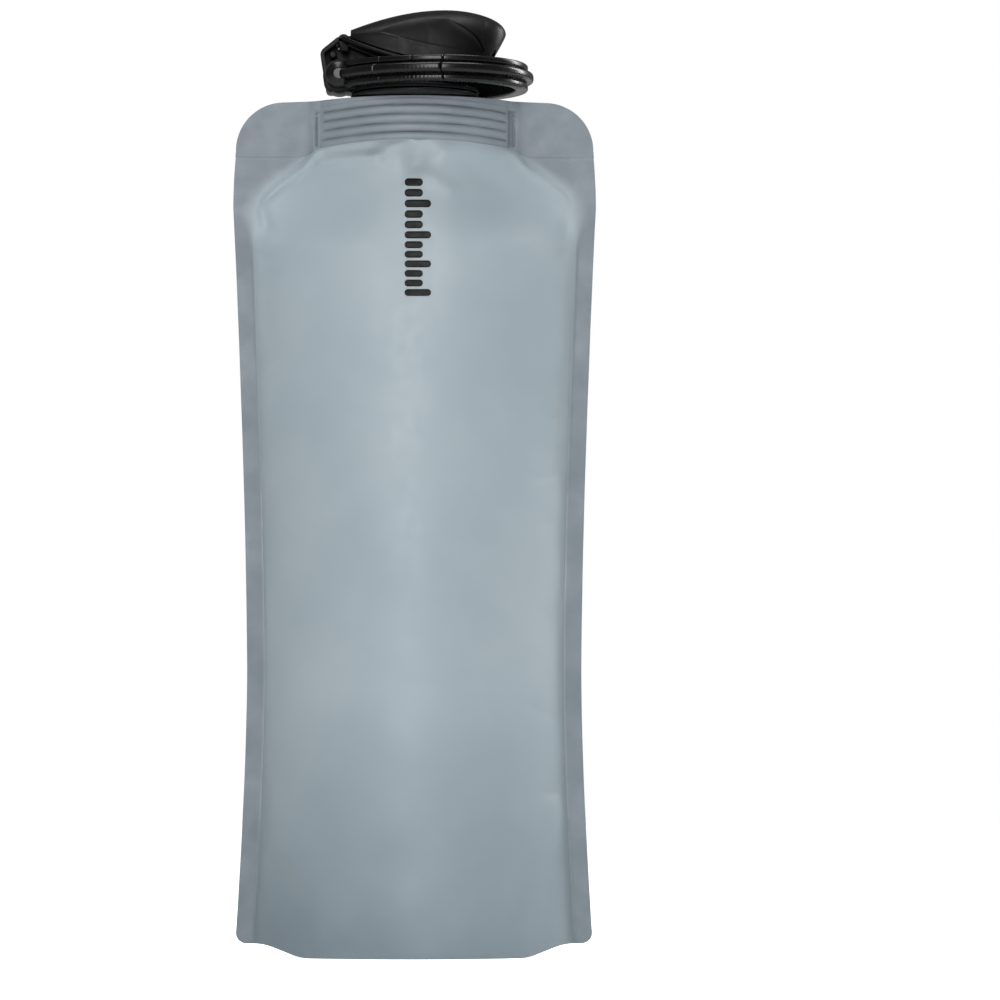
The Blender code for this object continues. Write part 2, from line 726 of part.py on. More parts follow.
def make_lid(material):
    back = LID_BACK + 0.0012
    lid = loft("lid_shell", [lid_ring(x, 0.0, 0.0) for x in stations(back, LID_NOSE - 0.0002, 26)],
               material)
    hollow_back = -0.0165
    hollow_front = 0.0262
    hollow = loft("lid_hollow", [lid_ring(x, LID_WALL, 0.002)
                                 for x in stations(hollow_back, hollow_front, 18)])
    combine(lid, hollow, "DIFFERENCE")
    for name, side in (("front_lug_room", -1), ("back_lug_room", 1)):
        inner = side * LID_KNUCKLE_HALF
        outer = side * 0.013
        room = cross_cylinder(name, LUG_ROOM_RADIUS, min(inner, outer), max(inner, outer),
                              HINGE_X, HINGE_Z)
        combine(lid, room, "DIFFERENCE")
    knuckle = cross_cylinder("lid_knuckle", HINGE_BARREL, -LID_KNUCKLE_HALF, LID_KNUCKLE_HALF,
                             HINGE_X, HINGE_Z)
    combine(lid, knuckle, "UNION")
    pin_hole = cross_cylinder("lid_pin_hole", HINGE_PIN + CLEARANCE, -0.012, 0.012, HINGE_X, HINGE_Z)
    combine(lid, pin_hole, "DIFFERENCE")
    return lid


def make_lid_plug(material):
    return turned("lid_plug", [
        (0.0, 0.2992), (0.0050, 0.2992), (0.0050, 0.2953), (0.0026, 0.2953),
        (0.0024, 0.2936), (0.0, 0.2936)], MOUTHPIECE_X, material)


def make_hinge_pin(material):
    half_length = WEB_HALF_WIDTH - 0.0004
    return cross_cylinder("lid_hinge_pin", HINGE_PIN, -half_length, half_length, HINGE_X, HINGE_Z,
                          material)


# Carabiner

def make_carabiner_frame(material):
    """The bar in the eyelet, the long way round the bow, and the short stretch to the gate's pin."""
    frame = cross_cylinder("carabiner_frame", BAR_RADIUS, -KNUCKLE_OUTER + 0.001,
                           KNUCKLE_OUTER - 0.001, BAR_X, BAR_Z, material)
    for name, side in (("near_knuckle", -1), ("far_knuckle", 1)):
        inner = side * KNUCKLE_INNER
        outer = side * KNUCKLE_OUTER
        knuckle = cross_cylinder(name, KNUCKLE_RADIUS, min(inner, outer), max(inner, outer),
                                 BAR_X, BAR_Z)
        combine(frame, knuckle, "UNION")
    back_angle = math.pi - math.asin((KNUCKLE_INNER + 0.0012) / RING_RADIUS)
    lug_angle = near_side_angle(GATE_PIN_X + GATE_LUG_REACH)
    bow = ring_stretch("bow", nose_end(0.0), upright_end(back_angle), RING_BOTTOM, RING_TOP, 44)
    pin_end = ring_stretch("pin_end", upright_end(-back_angle), upright_end(lug_angle), RING_BOTTOM,
                           RING_TOP, 10)
    combine(frame, bow, "UNION")
    combine(frame, pin_end, "UNION")
    pin_x, pin_y = gate_pin_place()
    slot = upright_cylinder("gate_slot", GATE_SLOT_RADIUS, GATE_KNUCKLE_BOTTOM - CLEARANCE,
                            GATE_SLOT_TOP, pin_x + 0.0004, pin_y)
    combine(frame, slot, "DIFFERENCE")
    hole = upright_cylinder("frame_pin_hole", GATE_PIN_RADIUS + CLEARANCE, RING_BOTTOM - 0.002,
                            RING_TOP + 0.002, pin_x, pin_y)
    combine(frame, hole, "DIFFERENCE")
    return frame


def make_gate(material):
    """The near side's sprung gate, with a knuckle on the pin and a slightly lower bar."""
    pin_x, pin_y = gate_pin_place()
    start = upright_end(near_side_angle(GATE_PIN_X + GATE_BLADE_REACH))
    gate = ring_stretch("carabiner_gate", start, nose_end(GATE_NOSE_GAP), GATE_BOTTOM, GATE_TOP, 14,
                        material)
    arm_start = near_side_angle(GATE_PIN_X + 0.0001)
    arm_end = near_side_angle(GATE_PIN_X + GATE_BLADE_REACH + 0.0015)
    arm_half_width = GATE_KNUCKLE_RADIUS / 2
    arm_outer = GATE_PIN_OFFSET + arm_half_width
    arm_inner = GATE_PIN_OFFSET - arm_half_width
    arm_outline = [ring_point(arm_start, arm_outer), ring_point(arm_end, arm_outer),
                   ring_point(arm_end, arm_inner), ring_point(arm_start, arm_inner)]
    arm = plan_solid("gate_arm", arm_outline, GATE_KNUCKLE_BOTTOM + 0.0001,
                     GATE_KNUCKLE_TOP - 0.0001)
    combine(gate, arm, "UNION")
    knuckle = upright_cylinder("gate_knuckle", GATE_KNUCKLE_RADIUS, GATE_KNUCKLE_BOTTOM,
                               GATE_KNUCKLE_TOP, pin_x, pin_y)
    combine(gate, knuckle, "UNION")
    hole = upright_cylinder("gate_pin_hole", GATE_PIN_RADIUS + CLEARANCE, RING_BOTTOM, RING_TOP,
                            pin_x, pin_y)
    combine(gate, hole, "DIFFERENCE")
    return gate


def make_gate_pin(material):
    pin_x, pin_y = gate_pin_place()
    return upright_cylinder("gate_pin", GATE_PIN_RADIUS, RING_BOTTOM + 0.0004, RING_TOP - 0.0004,
                            pin_x, pin_y, material)


def make_gate_spring(material):
    """Two turns of wire round the pin, above the gate's knuckle."""
    pin_x, pin_y = gate_pin_place()
    turns = 2
    points_per_turn = 12
    coil_bottom = GATE_KNUCKLE_TOP + CLEARANCE + SPRING_WIRE
    pitch = 0.00055
    points = []
    for i in range(turns * points_per_turn + 1):
        angle = 2 * math.pi * i / points_per_turn
        points.append((pin_x + SPRING_RADIUS * math.cos(angle), pin_y + SPRING_RADIUS * math.sin(angle),
                       coil_bottom + pitch * i / points_per_turn))
    return wire("gate_spring", points, SPRING_WIRE, material)


def main():
    clear_scene()
    make_collection(PARTS)
    make_collection(CUTTERS)
    film = make_material("translucent grey-blue film", FILM_COLOUR, 0.45)
    fitment_plastic = make_material("black polyethylene", BLACK_PLASTIC, 0.5)
    black = make_material("black polypropylene", BLACK_PLASTIC, 0.42)
    glossy = make_material("glossy black nylon", BLACK_PLASTIC, 0.28)
    rubber = make_material("black silicone", RUBBER, 0.6)
    steel = make_material("steel", STEEL, 0.3, 1.0)

    make_gusset(film)
    make_fitment(fitment_plastic)
    front = make_film("front_film", -1, film)
    back = make_film("back_film", 1, film)
    hang_on(joint_empty("front_wall", (0.0, -FOOT_HALF_DEPTH, 0.0)), front)
    hang_on(joint_empty("back_wall", (0.0, FOOT_HALF_DEPTH, 0.0)), back)

    seal = make_seal(rubber)
    rise = joint_empty("cap_rise", (0.0, 0.0, CAP_BOTTOM))
    turn = joint_empty("cap_turn", (0.0, 0.0, CAP_BOTTOM))
    hang_on(rise, seal, turn)
    cap = make_cap_body(black)
    mouthpiece = make_mouthpiece(rubber)
    lid_pin = make_hinge_pin(steel)
    lid_flip = joint_empty("lid_flip", (HINGE_X, 0.0, HINGE_Z))
    carabiner_swing = joint_empty("carabiner_swing", (BAR_X, 0.0, BAR_Z))
    hang_on(turn, cap, mouthpiece, lid_pin, lid_flip, carabiner_swing)

    hang_on(lid_flip, make_lid(black), make_lid_plug(rubber))

    pin_x, pin_y = gate_pin_place()
    gate_open = joint_empty("gate_open", (pin_x, pin_y, RING_MIDDLE))
    hang_on(carabiner_swing, make_carabiner_frame(glossy), make_gate_pin(steel),
            make_gate_spring(steel), gate_open)
    hang_on(gate_open, make_gate(glossy))


main()
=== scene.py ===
"""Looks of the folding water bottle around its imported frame: film, spout, cap, lid and carabiner.

Metres, +Z up. X runs across the pouch's width, -Y is its front and the cap turns about Z.
"""
import math
import random

import bmesh
import bpy
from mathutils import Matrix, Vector


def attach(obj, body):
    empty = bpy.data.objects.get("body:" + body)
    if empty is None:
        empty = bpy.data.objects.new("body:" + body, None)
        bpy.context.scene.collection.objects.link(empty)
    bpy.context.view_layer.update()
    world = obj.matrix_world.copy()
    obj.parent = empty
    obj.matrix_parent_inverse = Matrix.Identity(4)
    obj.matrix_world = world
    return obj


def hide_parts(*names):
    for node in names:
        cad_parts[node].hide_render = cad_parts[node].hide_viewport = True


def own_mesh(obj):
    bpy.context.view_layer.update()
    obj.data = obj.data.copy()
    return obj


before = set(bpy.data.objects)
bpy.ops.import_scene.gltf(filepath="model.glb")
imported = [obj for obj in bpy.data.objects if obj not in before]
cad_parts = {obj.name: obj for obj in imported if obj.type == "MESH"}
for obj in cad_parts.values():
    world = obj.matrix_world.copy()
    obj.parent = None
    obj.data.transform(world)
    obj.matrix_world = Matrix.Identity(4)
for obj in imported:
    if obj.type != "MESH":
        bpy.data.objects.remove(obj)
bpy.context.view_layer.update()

# Pouch, as in the CAD
FILM_TOP = 0.2736
WAIST_HALF_WIDTH = 0.0534
WAIST_Z = 0.091
SHOULDER_HALF_WIDTH = 0.0582
SHOULDER_Z = 0.240
FOOT_HALF_WIDTH = 0.0570
TOP_CORNER_RADIUS = 0.0155
FOOT_CORNER_RADIUS = 0.0035
SIDE_WELD = 0.0057
FOOT_HALF_DEPTH = 0.0330
NECK_HALF_DEPTH = 0.0117
FITMENT_FILM_HALF_LENGTH = 0.0316
FITMENT_BOTTOM = 0.258
SHOULDER_SLOPE = 0.023
LENS_POWER = 0.85
EAR_LIFT = 0.0042
EAR_START = 0.033
EAR_END = 0.050
TOP_ARCH = 0.0009
GUSSET_HALF_LENGTH = 0.049
GUSSET_FLAT_HALF_LENGTH = 0.028
GUSSET_SIDE_RISE = 0.028

# Pouch, finer than the CAD
FILM = 0.0006
GUSSET_FILM = 0.0005
SEAM = 0.00072
SEAM_INNER = 0.00006
WELD_LINE_Z = 0.256
RIB_ARCH = 0.0021
RIB_PITCH = 0.00293
RIB_COUNT = 4.75
RIB_HEIGHT = 0.00075
RIB_HALF_LENGTH = 0.0300
BAND_OVERLAP = 0.0007
BAND_SINK = 0.00012
PRINT_LIFT = 0.00012
DRAPE_BOTTOM = 0.232
FOLDED_FROM_Z = 0.236

# Cap, lid and carabiner, as in the CAD
BOAT_HALF_LENGTH = 0.0305
BOAT_HALF_DEPTH = 0.0112
BOAT_TOP = 0.2732
FLANGE_RADIUS = 0.0205
FLANGE_BOTTOM = 0.2749
FLANGE_TOP = 0.2761
NECK_RADIUS = 0.0136
NECK_TOP = 0.2820
NECK_BORE = 0.0095
MOUTH_BORE = 0.0108
THREAD_PITCH = 0.004
THREAD_START_Z = 0.2776
THREAD_RIDGE = 0.0009
CAP_BORE = 0.0149
CAP_RADIUS = 0.0166
CAP_BOTTOM = 0.2765
CAP_SHOULDER = 0.2836
CAP_CEILING = 0.2837
CAP_TOP = 0.2860
SKIRT_RADIUS = 0.0205
SKIRT_TOP = 0.2779
TURRET_RADIUS = 0.0142
SEAL_RECESS_RADIUS = 0.0135
SEAL_RECESS_BOTTOM = 0.2826
WEB_HALF_WIDTH = 0.0079
DECK_THICKNESS = 0.0013
DECK_MARGIN = 0.0009
MOUTHPIECE_X = 0.002
CHANNEL_RADIUS = 0.0045
HINGE_X = -0.0228
HINGE_Z = 0.2929
LID_BACK = -0.0240
LID_WIDEST = 0.003
LID_NOSE = 0.0293
LID_HALF_WIDTH = 0.0170
LID_BACK_HALF_WIDTH = 0.0090
LID_CREST_X = 0.010
LID_CREST_Z = 0.3032
LID_NOSE_Z = 0.2956
LID_CHIN_X = 0.0223
LID_CHIN_Z = 0.2840
LID_WALL = 0.0018
LID_BACK_DROP = 0.0084
LID_BACK_RISE = 0.0105
LID_PLAN_POWER = 2.4
LID_SECTION_POWER = 2.6
LID_UPRIGHT = 0.15
LID_START_X = HINGE_X + 0.0023
LID_HOLLOW_BACK = -0.0165
LID_HOLLOW_FRONT = 0.0262
LID_GAP = 0.0004
HINGE_BARREL = 0.0019
LID_KNUCKLE_HALF = 0.0040
SCOOP_LIP_Z = 0.2879
SCOOP_LIP_RISE = 0.0065
SCOOP_LIP_FRONT = 0.0215
SCOOP_LIP_LENGTH = 0.0331
SCOOP_MIDDLE_X = 0.0085
SCOOP_FRONT_LENGTH = 0.0135
SCOOP_BACK_LENGTH = 0.0201
SCOOP_HEIGHT = 0.0097
SCOOP_DEPTH = 0.0016
CLEARANCE = 0.0003
BAR_X = -0.0243
BAR_Z = 0.2815
BAR_RADIUS = 0.0026
EYELET_RADIUS = 0.0030
KNUCKLE_RADIUS = 0.0042
KNUCKLE_INNER = 0.0082
KNUCKLE_OUTER = 0.0125
RING_CENTRE_X = 0.0082
RING_RADIUS = 0.0270
RING_BACK_RADIUS = 0.0325
RING_INNER = -0.0030
RING_FLANGE = 0.0001
RING_RIB = 0.0030
RING_BOTTOM = 0.2773
RING_TOP = 0.2857
RIB_HALF_HEIGHT = 0.0019
RING_MIDDLE = (RING_BOTTOM + RING_TOP) / 2
GATE_PIN_X = -0.0155
GATE_PIN_OFFSET = -0.0014
GATE_NOSE_X = 0.0094
GATE_KNUCKLE_BOTTOM = 0.2800
GATE_KNUCKLE_TOP = 0.2812
GATE_KNUCKLE_RADIUS = 0.0021
GATE_SLOT_RADIUS = 0.0029
GATE_SLOT_TOP = 0.28335
GATE_TAIL_REACH = 0.0062
GATE_END_GAP = 0.0002


# Mesh helpers

SAME_PLACE = 0.0000005
PINHOLE = 0.00005


def clamp(value):
    return min(1.0, max(0.0, value))


def smooth(value):
    share = clamp(value)
    return share * share * (3.0 - 2.0 * share)


def even_steps(start, end, count):
    return [start + (end - start) * i / count for i in range(count + 1)]


def edge_steps(count):
    """Steps from -1 to 1 that lie closer together towards both ends."""
    return [math.sin(math.pi / 2 * (2 * i / count - 1)) for i in range(count + 1)]


def new_piece(name, vertices, faces, material, sharp_degrees=40.0, merge=SAME_PLACE):
    """A smooth-shaded object in the scene; points closer together than merge become one."""
    mesh = bpy.data.meshes.new(name)
    mesh.from_pydata([tuple(point) for point in vertices], [], faces)
    piece = bpy.data.objects.new(name, mesh)
    bpy.context.scene.collection.objects.link(piece)
    if material:
        mesh.materials.append(material)
    shape = bmesh.new()
    shape.from_mesh(mesh)
    if merge:
        bmesh.ops.remove_doubles(shape, verts=shape.verts, dist=merge)
    bmesh.ops.recalc_face_normals(shape, faces=shape.faces)
    shape.to_mesh(mesh)
    shape.free()
    shade(piece, sharp_degrees)
    return piece


def shade(piece, sharp_degrees):
    """Smooth shading, with a sharp edge wherever faces meet at more than the given angle."""
    piece.data.shade_smooth()
    piece.data.set_sharp_from_angle(angle=math.radians(sharp_degrees))


def ring_faces(first, second, count, closed=True):
    """Quads between two rings of points that start at the two given indices."""
    steps = count if closed else count - 1
    faces = []
    for i in range(steps):
        j = (i + 1) % count
        faces.append((first + i, first + j, second + j, second + i))
    return faces


def loft(name, rings, material=None, sharp_degrees=40.0):
    """A closed solid through rings of points, with both ends capped."""
    count = len(rings[0])
    vertices = [point for ring in rings for point in ring]
    faces = []
    for i in range(len(rings) - 1):
        faces += ring_faces(i * count, (i + 1) * count, count)
    last = (len(rings) - 1) * count
    faces.append(tuple(range(count)))
    faces.append(tuple(range(last, last + count)))
    return new_piece(name, vertices, faces, material, sharp_degrees)


def rounded(points, radius, steps=4):
    """A closed outline with each corner replaced by an arc of up to the given radius."""
    result = []
    count = len(points)
    for i, point in enumerate(points):
        before = Vector(points[i - 1]) - Vector(point)
        after = Vector(points[(i + 1) % count]) - Vector(point)
        corner_radius = radius[i] if isinstance(radius, (list, tuple)) else radius
        half_angle = before.angle(after, math.pi) / 2
        if corner_radius <= 0.0 or half_angle > 1.5:
            result.append(tuple(point))
            continue
        reach = min(corner_radius / math.tan(half_angle), 0.48 * before.length, 0.48 * after.length)
        start = Vector(point) + before.normalized() * reach
        end = Vector(point) + after.normalized() * reach
        for k in range(steps + 1):
            share = k / steps
            along = start.lerp(Vector(point), share)
            beyond = Vector(point).lerp(end, share)
            result.append(tuple(along.lerp(beyond, share)))
    return result


def turned(name, outline, centre=(0.0, 0.0), material=None, segments=128, flutes=0):
    """A ring or cup turned about a vertical axis from a closed (radius, height) outline."""
    vertices = []
    faces = []
    count = len(outline)
    flute_depth = 0.00035
    for i in range(segments):
        angle = 2.0 * math.pi * i / segments
        ridge = flute_depth * clamp(1.6 * math.cos(flutes * angle)) if flutes else 0.0
        for radius, height in outline:
            reach = radius + (ridge if abs(radius - CAP_RADIUS) < 0.00002 else 0.0)
            vertices.append((centre[0] + reach * math.cos(angle), centre[1] + reach * math.sin(angle),
                             height))
        faces += ring_faces(i * count, ((i + 1) % segments) * count, count)
    return new_piece(name, vertices, faces, material)


def turned_across(name, outline, x, z, material=None, segments=72):
    """A solid turned about an axis along Y from a (radius, y) outline."""
    vertices = []
    faces = []
    count = len(outline)
    for i in range(segments):
        angle = 2.0 * math.pi * i / segments
        for radius, y in outline:
            vertices.append((x + radius * math.cos(angle), y, z + radius * math.sin(angle)))
        faces += ring_faces(i * count, ((i + 1) % segments) * count, count)
    return new_piece(name, vertices, faces, material)


def disc_outline(radius, start, end, edge, hole=PINHOLE):
    """The (radius, place) outline of a round bar between two places, with rounded edges."""
    return rounded([(radius, start), (radius, end), (hole, end), (hole, start)],
                   [edge, edge, 0.0, 0.0])


def circle(radius, first, second, steps=96):
    return [(first + radius * math.cos(2.0 * math.pi * i / steps),
             second + radius * math.sin(2.0 * math.pi * i / steps)) for i in range(steps)]


def arc(radius, first, second, start, end, steps):
    """Points on a round stretch of outline between two angles in degrees."""
    turns = [math.radians(start + (end - start) * i / steps) for i in range(steps + 1)]
    return [(first + radius * math.cos(turn), second + radius * math.sin(turn)) for turn in turns]


def side_solid(name, outline, y_from, y_to, material=None):
    """An (x, z) outline pushed along Y."""
    near = [(x, y_from, z) for x, z in outline]
    far = [(x, y_to, z) for x, z in outline]
    return loft(name, [near, far], material)


def plan_solid(name, outline, bottom, top, material=None):
    low = [(x, y, bottom) for x, y in outline]
    high = [(x, y, top) for x, y in outline]
    return loft(name, [low, high], material)


def cut(piece, tool):
    """Take the tool out of the piece for good, and delete the tool."""
    modifier = piece.modifiers.new("cut", "BOOLEAN")
    modifier.operation = "DIFFERENCE"
    modifier.object = tool
    modifier.solver = "EXACT"
    settle(piece)
    bpy.data.objects.remove(tool)


def give_material(piece, material):
    piece.data.materials.clear()
    piece.data.materials.append(material)


def soften_edges(piece, width, segments=3, degrees=40.0):
    bevel = piece.modifiers.new("soft edges", "BEVEL")
    bevel.width = width
    bevel.segments = segments
    bevel.limit_method = "ANGLE"
    bevel.angle_limit = math.radians(degrees)
    bevel.harden_normals = False
    settle(piece)
    shade(piece, 55.0)


def settle(piece):
    """Turn the modified shape into the piece's own mesh."""
    bpy.context.view_layer.update()
    evaluated = piece.evaluated_get(bpy.context.evaluated_depsgraph_get())
    mesh = bpy.data.meshes.new_from_object(evaluated)
    piece.modifiers.clear()
    piece.data = mesh


def join(name, pieces):
    """One piece from several that overlap or touch."""
    vertices = []
    faces = []
    for piece in pieces:
        start = len(vertices)
        vertices += [tuple(vertex.co) for vertex in piece.data.vertices]
        faces += [tuple(start + index for index in face.vertices) for face in piece.data.polygons]
    material = pieces[0].data.materials[0]
    for piece in pieces:
        bpy.data.objects.remove(piece)
    return new_piece(name, vertices, faces, material)


def dress(piece, body, slot, *nodes):
    """Hang a finished piece on its body, and hide what it stands for."""
    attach(piece, body)
    if nodes:
        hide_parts(*nodes)


# Materials

class Nodes:
    """A material's node tree, with short ways to add the nodes that every finish uses."""

    def __init__(self, name):
        self.material = bpy.data.materials.new(name)
        self.material.use_nodes = True
        self.tree = self.material.node_tree
        self.shader = self.tree.nodes["Principled BSDF"]
        coordinates = self.tree.nodes.new("ShaderNodeTexCoord")
        self.place = coordinates.outputs["Object"]

    def link(self, source, target):
        self.tree.links.new(source, target)

    def noise(self, scale, detail=3.0):
        node = self.tree.nodes.new("ShaderNodeTexNoise")
        node.inputs["Scale"].default_value = scale
        node.inputs["Detail"].default_value = detail
        self.link(self.place, node.inputs["Vector"])
        return node.outputs["Fac"]

    def ramp(self, source, low, high, from_low=0.35, from_high=0.65):
        node = self.tree.nodes.new("ShaderNodeMapRange")
        node.inputs["From Min"].default_value = from_low
        node.inputs["From Max"].default_value = from_high
        node.inputs["To Min"].default_value = low
        node.inputs["To Max"].default_value = high
        self.link(source, node.inputs["Value"])
        return node.outputs["Result"]

    def mix(self, share, first, second):
        node = self.tree.nodes.new("ShaderNodeMix")
        node.data_type = "RGBA"
        self.link(share, node.inputs["Factor"])
        for socket, colour in ((node.inputs["A"], first), (node.inputs["B"], second)):
            if isinstance(colour, tuple):
                socket.default_value = (*colour, 1.0)
            else:
                self.link(colour, socket)
        return node.outputs["Result"]

    def bump(self, source, strength, distance, before=None):
        node = self.tree.nodes.new("ShaderNodeBump")
        node.inputs["Strength"].default_value = strength
        node.inputs["Distance"].default_value = distance
        self.link(source, node.inputs["Height"])
        if before:
            self.link(before, node.inputs["Normal"])
        return node.outputs["Normal"]

    def drift(self, scale, first, second):
        """A colour that wanders between two tones."""
        return self.mix(self.ramp(self.noise(scale), 0.0, 1.0), first, second)

    def finish(self, colour, roughness, normal, **settings):
        """Link the shader's main inputs, and set others that are the same all over."""
        for name, source in (("Base Color", colour), ("Roughness", roughness), ("Normal", normal)):
            self.link(source, self.shader.inputs[name])
        for name, value in settings.items():
            self.shader.inputs[name.replace("_", " ")].default_value = value
        return self.material

    def height(self):
        split = self.tree.nodes.new("ShaderNodeSeparateXYZ")
        self.link(self.place, split.inputs["Vector"])
        return split.outputs["Z"]

    def named(self, name):
        node = self.tree.nodes.new("ShaderNodeAttribute")
        node.attribute_name = name
        return node.outputs["Fac"]


def film_material():
    """Matte grey-blue laminate: darker where two layers are welded, with painted shade towards the bottom
    and in the neck band's rib grooves.
    """
    film = Nodes("grey-blue laminate film")
    upper = film.drift(22.0, (0.288, 0.345, 0.382), (0.325, 0.375, 0.410))
    # Painted shade: the lower tone darkens the film towards the bottom, fading out by about 8.5 cm up.
    lower = film.drift(30.0, (0.178, 0.222, 0.254), (0.206, 0.250, 0.282))
    wall = film.mix(film.ramp(film.height(), 0.0, 1.0, 0.005, 0.085), lower, upper)
    welded = film.drift(140.0, (0.160, 0.193, 0.217), (0.184, 0.217, 0.242))
    # Painted shade: where "weld" passes 1, the rib grooves darken towards a near-black colour.
    welded_and_groove_shade = film.mix(film.ramp(film.named("weld"), 0.0, 1.0, 1.0, 2.0), welded, (0.070, 0.082, 0.096))
    colour = film.mix(film.ramp(film.named("weld"), 0.0, 1.0, 0.0, 1.0), wall, welded_and_groove_shade)
    soft = film.bump(film.noise(75.0, 2.0), 0.22, 0.0006)
    grain = film.bump(film.noise(2600.0, 2.0), 0.10, 0.00006, soft)
    return film.finish(colour, film.ramp(film.noise(260.0), 0.40, 0.50), grain,
                       Specular_IOR_Level=0.30, Sheen_Weight=0.04, Sheen_Roughness=0.45)


def moulded_material(name, dark, light, roughness, texture_scale, texture_strength, specular=0.5,
                     coat=0.0):
    """A moulding: faint clouding, an uneven gloss, fine texture and a few long shallow waves."""
    plastic = Nodes(name)
    gloss = plastic.ramp(plastic.noise(320.0), roughness - 0.04, roughness + 0.05)
    waves = plastic.bump(plastic.noise(160.0, 1.0), 0.04, 0.0003)
    texture = plastic.bump(plastic.noise(texture_scale, 2.0), texture_strength, 0.00005, waves)
    return plastic.finish(plastic.drift(90.0, dark, light), gloss, texture,
                          Specular_IOR_Level=specular, Coat_Weight=coat, Coat_Roughness=0.12)


def ink_material():
    ink = Nodes("black print")
    colour = ink.drift(700.0, (0.004, 0.004, 0.0045), (0.007, 0.007, 0.0075))
    return ink.finish(colour, ink.ramp(ink.noise(500.0), 0.38, 0.50),
                      ink.bump(ink.noise(2200.0, 2.0), 0.12, 0.00004), Specular_IOR_Level=0.15)


def steel_material():
    """Drawn wire and pins: a fine grain in the gloss and a trace of oil tint."""
    steel = Nodes("drawn steel")
    colour = steel.drift(400.0, (0.46, 0.46, 0.47), (0.60, 0.60, 0.60))
    return steel.finish(colour, steel.ramp(steel.noise(900.0), 0.24, 0.38),
                        steel.bump(steel.noise(3000.0, 2.0), 0.10, 0.00003), Metallic=1.0)


# Pouch shape

def pouch_half_width(z):
    """Half the pouch's width: a waist, wider shoulders, and round corners at top and foot."""
    top_corner_z = FILM_TOP - TOP_CORNER_RADIUS
    top_half_width = SHOULDER_HALF_WIDTH - 0.0008
    if z > top_corner_z:
        rise = min(z - top_corner_z, TOP_CORNER_RADIUS)
        return top_half_width - TOP_CORNER_RADIUS + math.sqrt(TOP_CORNER_RADIUS ** 2 - rise ** 2)
    if z > SHOULDER_Z:
        share = (z - SHOULDER_Z) / (top_corner_z - SHOULDER_Z)
        return SHOULDER_HALF_WIDTH + (top_half_width - SHOULDER_HALF_WIDTH) * share ** 2
    if z > WAIST_Z:
        share = (z - WAIST_Z) / (SHOULDER_Z - WAIST_Z)
        return WAIST_HALF_WIDTH + (SHOULDER_HALF_WIDTH - WAIST_HALF_WIDTH) * share ** 1.5
    share = (WAIST_Z - max(z, FOOT_CORNER_RADIUS)) / WAIST_Z
    width = WAIST_HALF_WIDTH + (FOOT_HALF_WIDTH - WAIST_HALF_WIDTH) * share ** 1.6
    drop = max(0.0, FOOT_CORNER_RADIUS - z)
    return width - FOOT_CORNER_RADIUS + math.sqrt(FOOT_CORNER_RADIUS ** 2 - drop ** 2)


def lens(share):
    return max(0.0, 1.0 - share * share) ** LENS_POWER


def blown_half_width(z):
    """Half the width of the part that water or the fitment holds open, between the welds."""
    half_width = pouch_half_width(max(z, FOOT_CORNER_RADIUS)) - SIDE_WELD
    opened = 1.0 - (1.0 - clamp((FITMENT_BOTTOM - z) / SHOULDER_SLOPE)) ** 2.3
    return FITMENT_FILM_HALF_LENGTH + (half_width - FITMENT_FILM_HALF_LENGTH) * opened


def belly_depth(x, z):
    """How far the smooth film's outer face stands from the middle plane; the shoulders are softer."""
    fullness = 1.0 - (min(z, FITMENT_BOTTOM) / FITMENT_BOTTOM) ** 3
    half_depth = NECK_HALF_DEPTH + (FOOT_HALF_DEPTH - FILM - NECK_HALF_DEPTH) * fullness
    shoulder = clamp((FITMENT_BOTTOM - z) / (1.4 * SHOULDER_SLOPE))
    softness = 1.0 + 32.0 * (shoulder * (1.0 - shoulder)) ** 2
    return SEAM + half_depth * lens(x / blown_half_width(z)) ** softness


def ear_lift(x):
    return EAR_LIFT * smooth((abs(x) - EAR_START) / (EAR_END - EAR_START))


def weld_share(x, z):
    """1 on the flat welds, 0 on the open film; the change is gradual round the shoulders."""
    spread = 0.0009 + 0.0080 * smooth((z - 0.226) / 0.016)
    return smooth((abs(x) - blown_half_width(z) + 0.4 * spread) / spread)


# Creases: x and z of both ends, width and height; a height below zero is a valley.
FRONT_CREASES = [
    (-0.031, 0.2570, -0.049, 0.2425, 0.0015, 0.00120),
    (-0.035, 0.2570, -0.051, 0.2480, 0.0018, -0.00080),
    (-0.030, 0.2530, -0.012, 0.2525, 0.0018, 0.00110),
    (-0.029, 0.2560, -0.014, 0.2555, 0.0020, -0.00120),
    (-0.012, 0.2525, -0.004, 0.2570, 0.0022, 0.00070),
    (0.001, 0.2525, 0.001, 0.2500, 0.0042, -0.00170),
    (0.003, 0.2475, 0.011, 0.2430, 0.0026, 0.00085),
    (0.031, 0.2565, 0.050, 0.2440, 0.0018, 0.00090),
    (0.010, 0.2540, 0.028, 0.2550, 0.0024, 0.00050),
    (0.020, 0.2480, 0.046, 0.2390, 0.0034, -0.00050),
    (-0.006, 0.2440, -0.002, 0.2140, 0.0075, -0.00090),
    (0.006, 0.2440, 0.003, 0.2180, 0.0060, -0.00060),
    (-0.051, 0.2440, -0.047, 0.2330, 0.0020, -0.00060),
    (0.052, 0.2430, 0.048, 0.2300, 0.0022, -0.00060),
    (-0.048, 0.0500, -0.030, 0.0120, 0.0050, 0.00100),
    (-0.045, 0.0280, -0.024, 0.0060, 0.0036, -0.00090),
    (0.046, 0.0460, 0.033, 0.0100, 0.0050, 0.00080),
    (-0.010, 0.0300, 0.016, 0.0240, 0.0070, -0.00060),
]
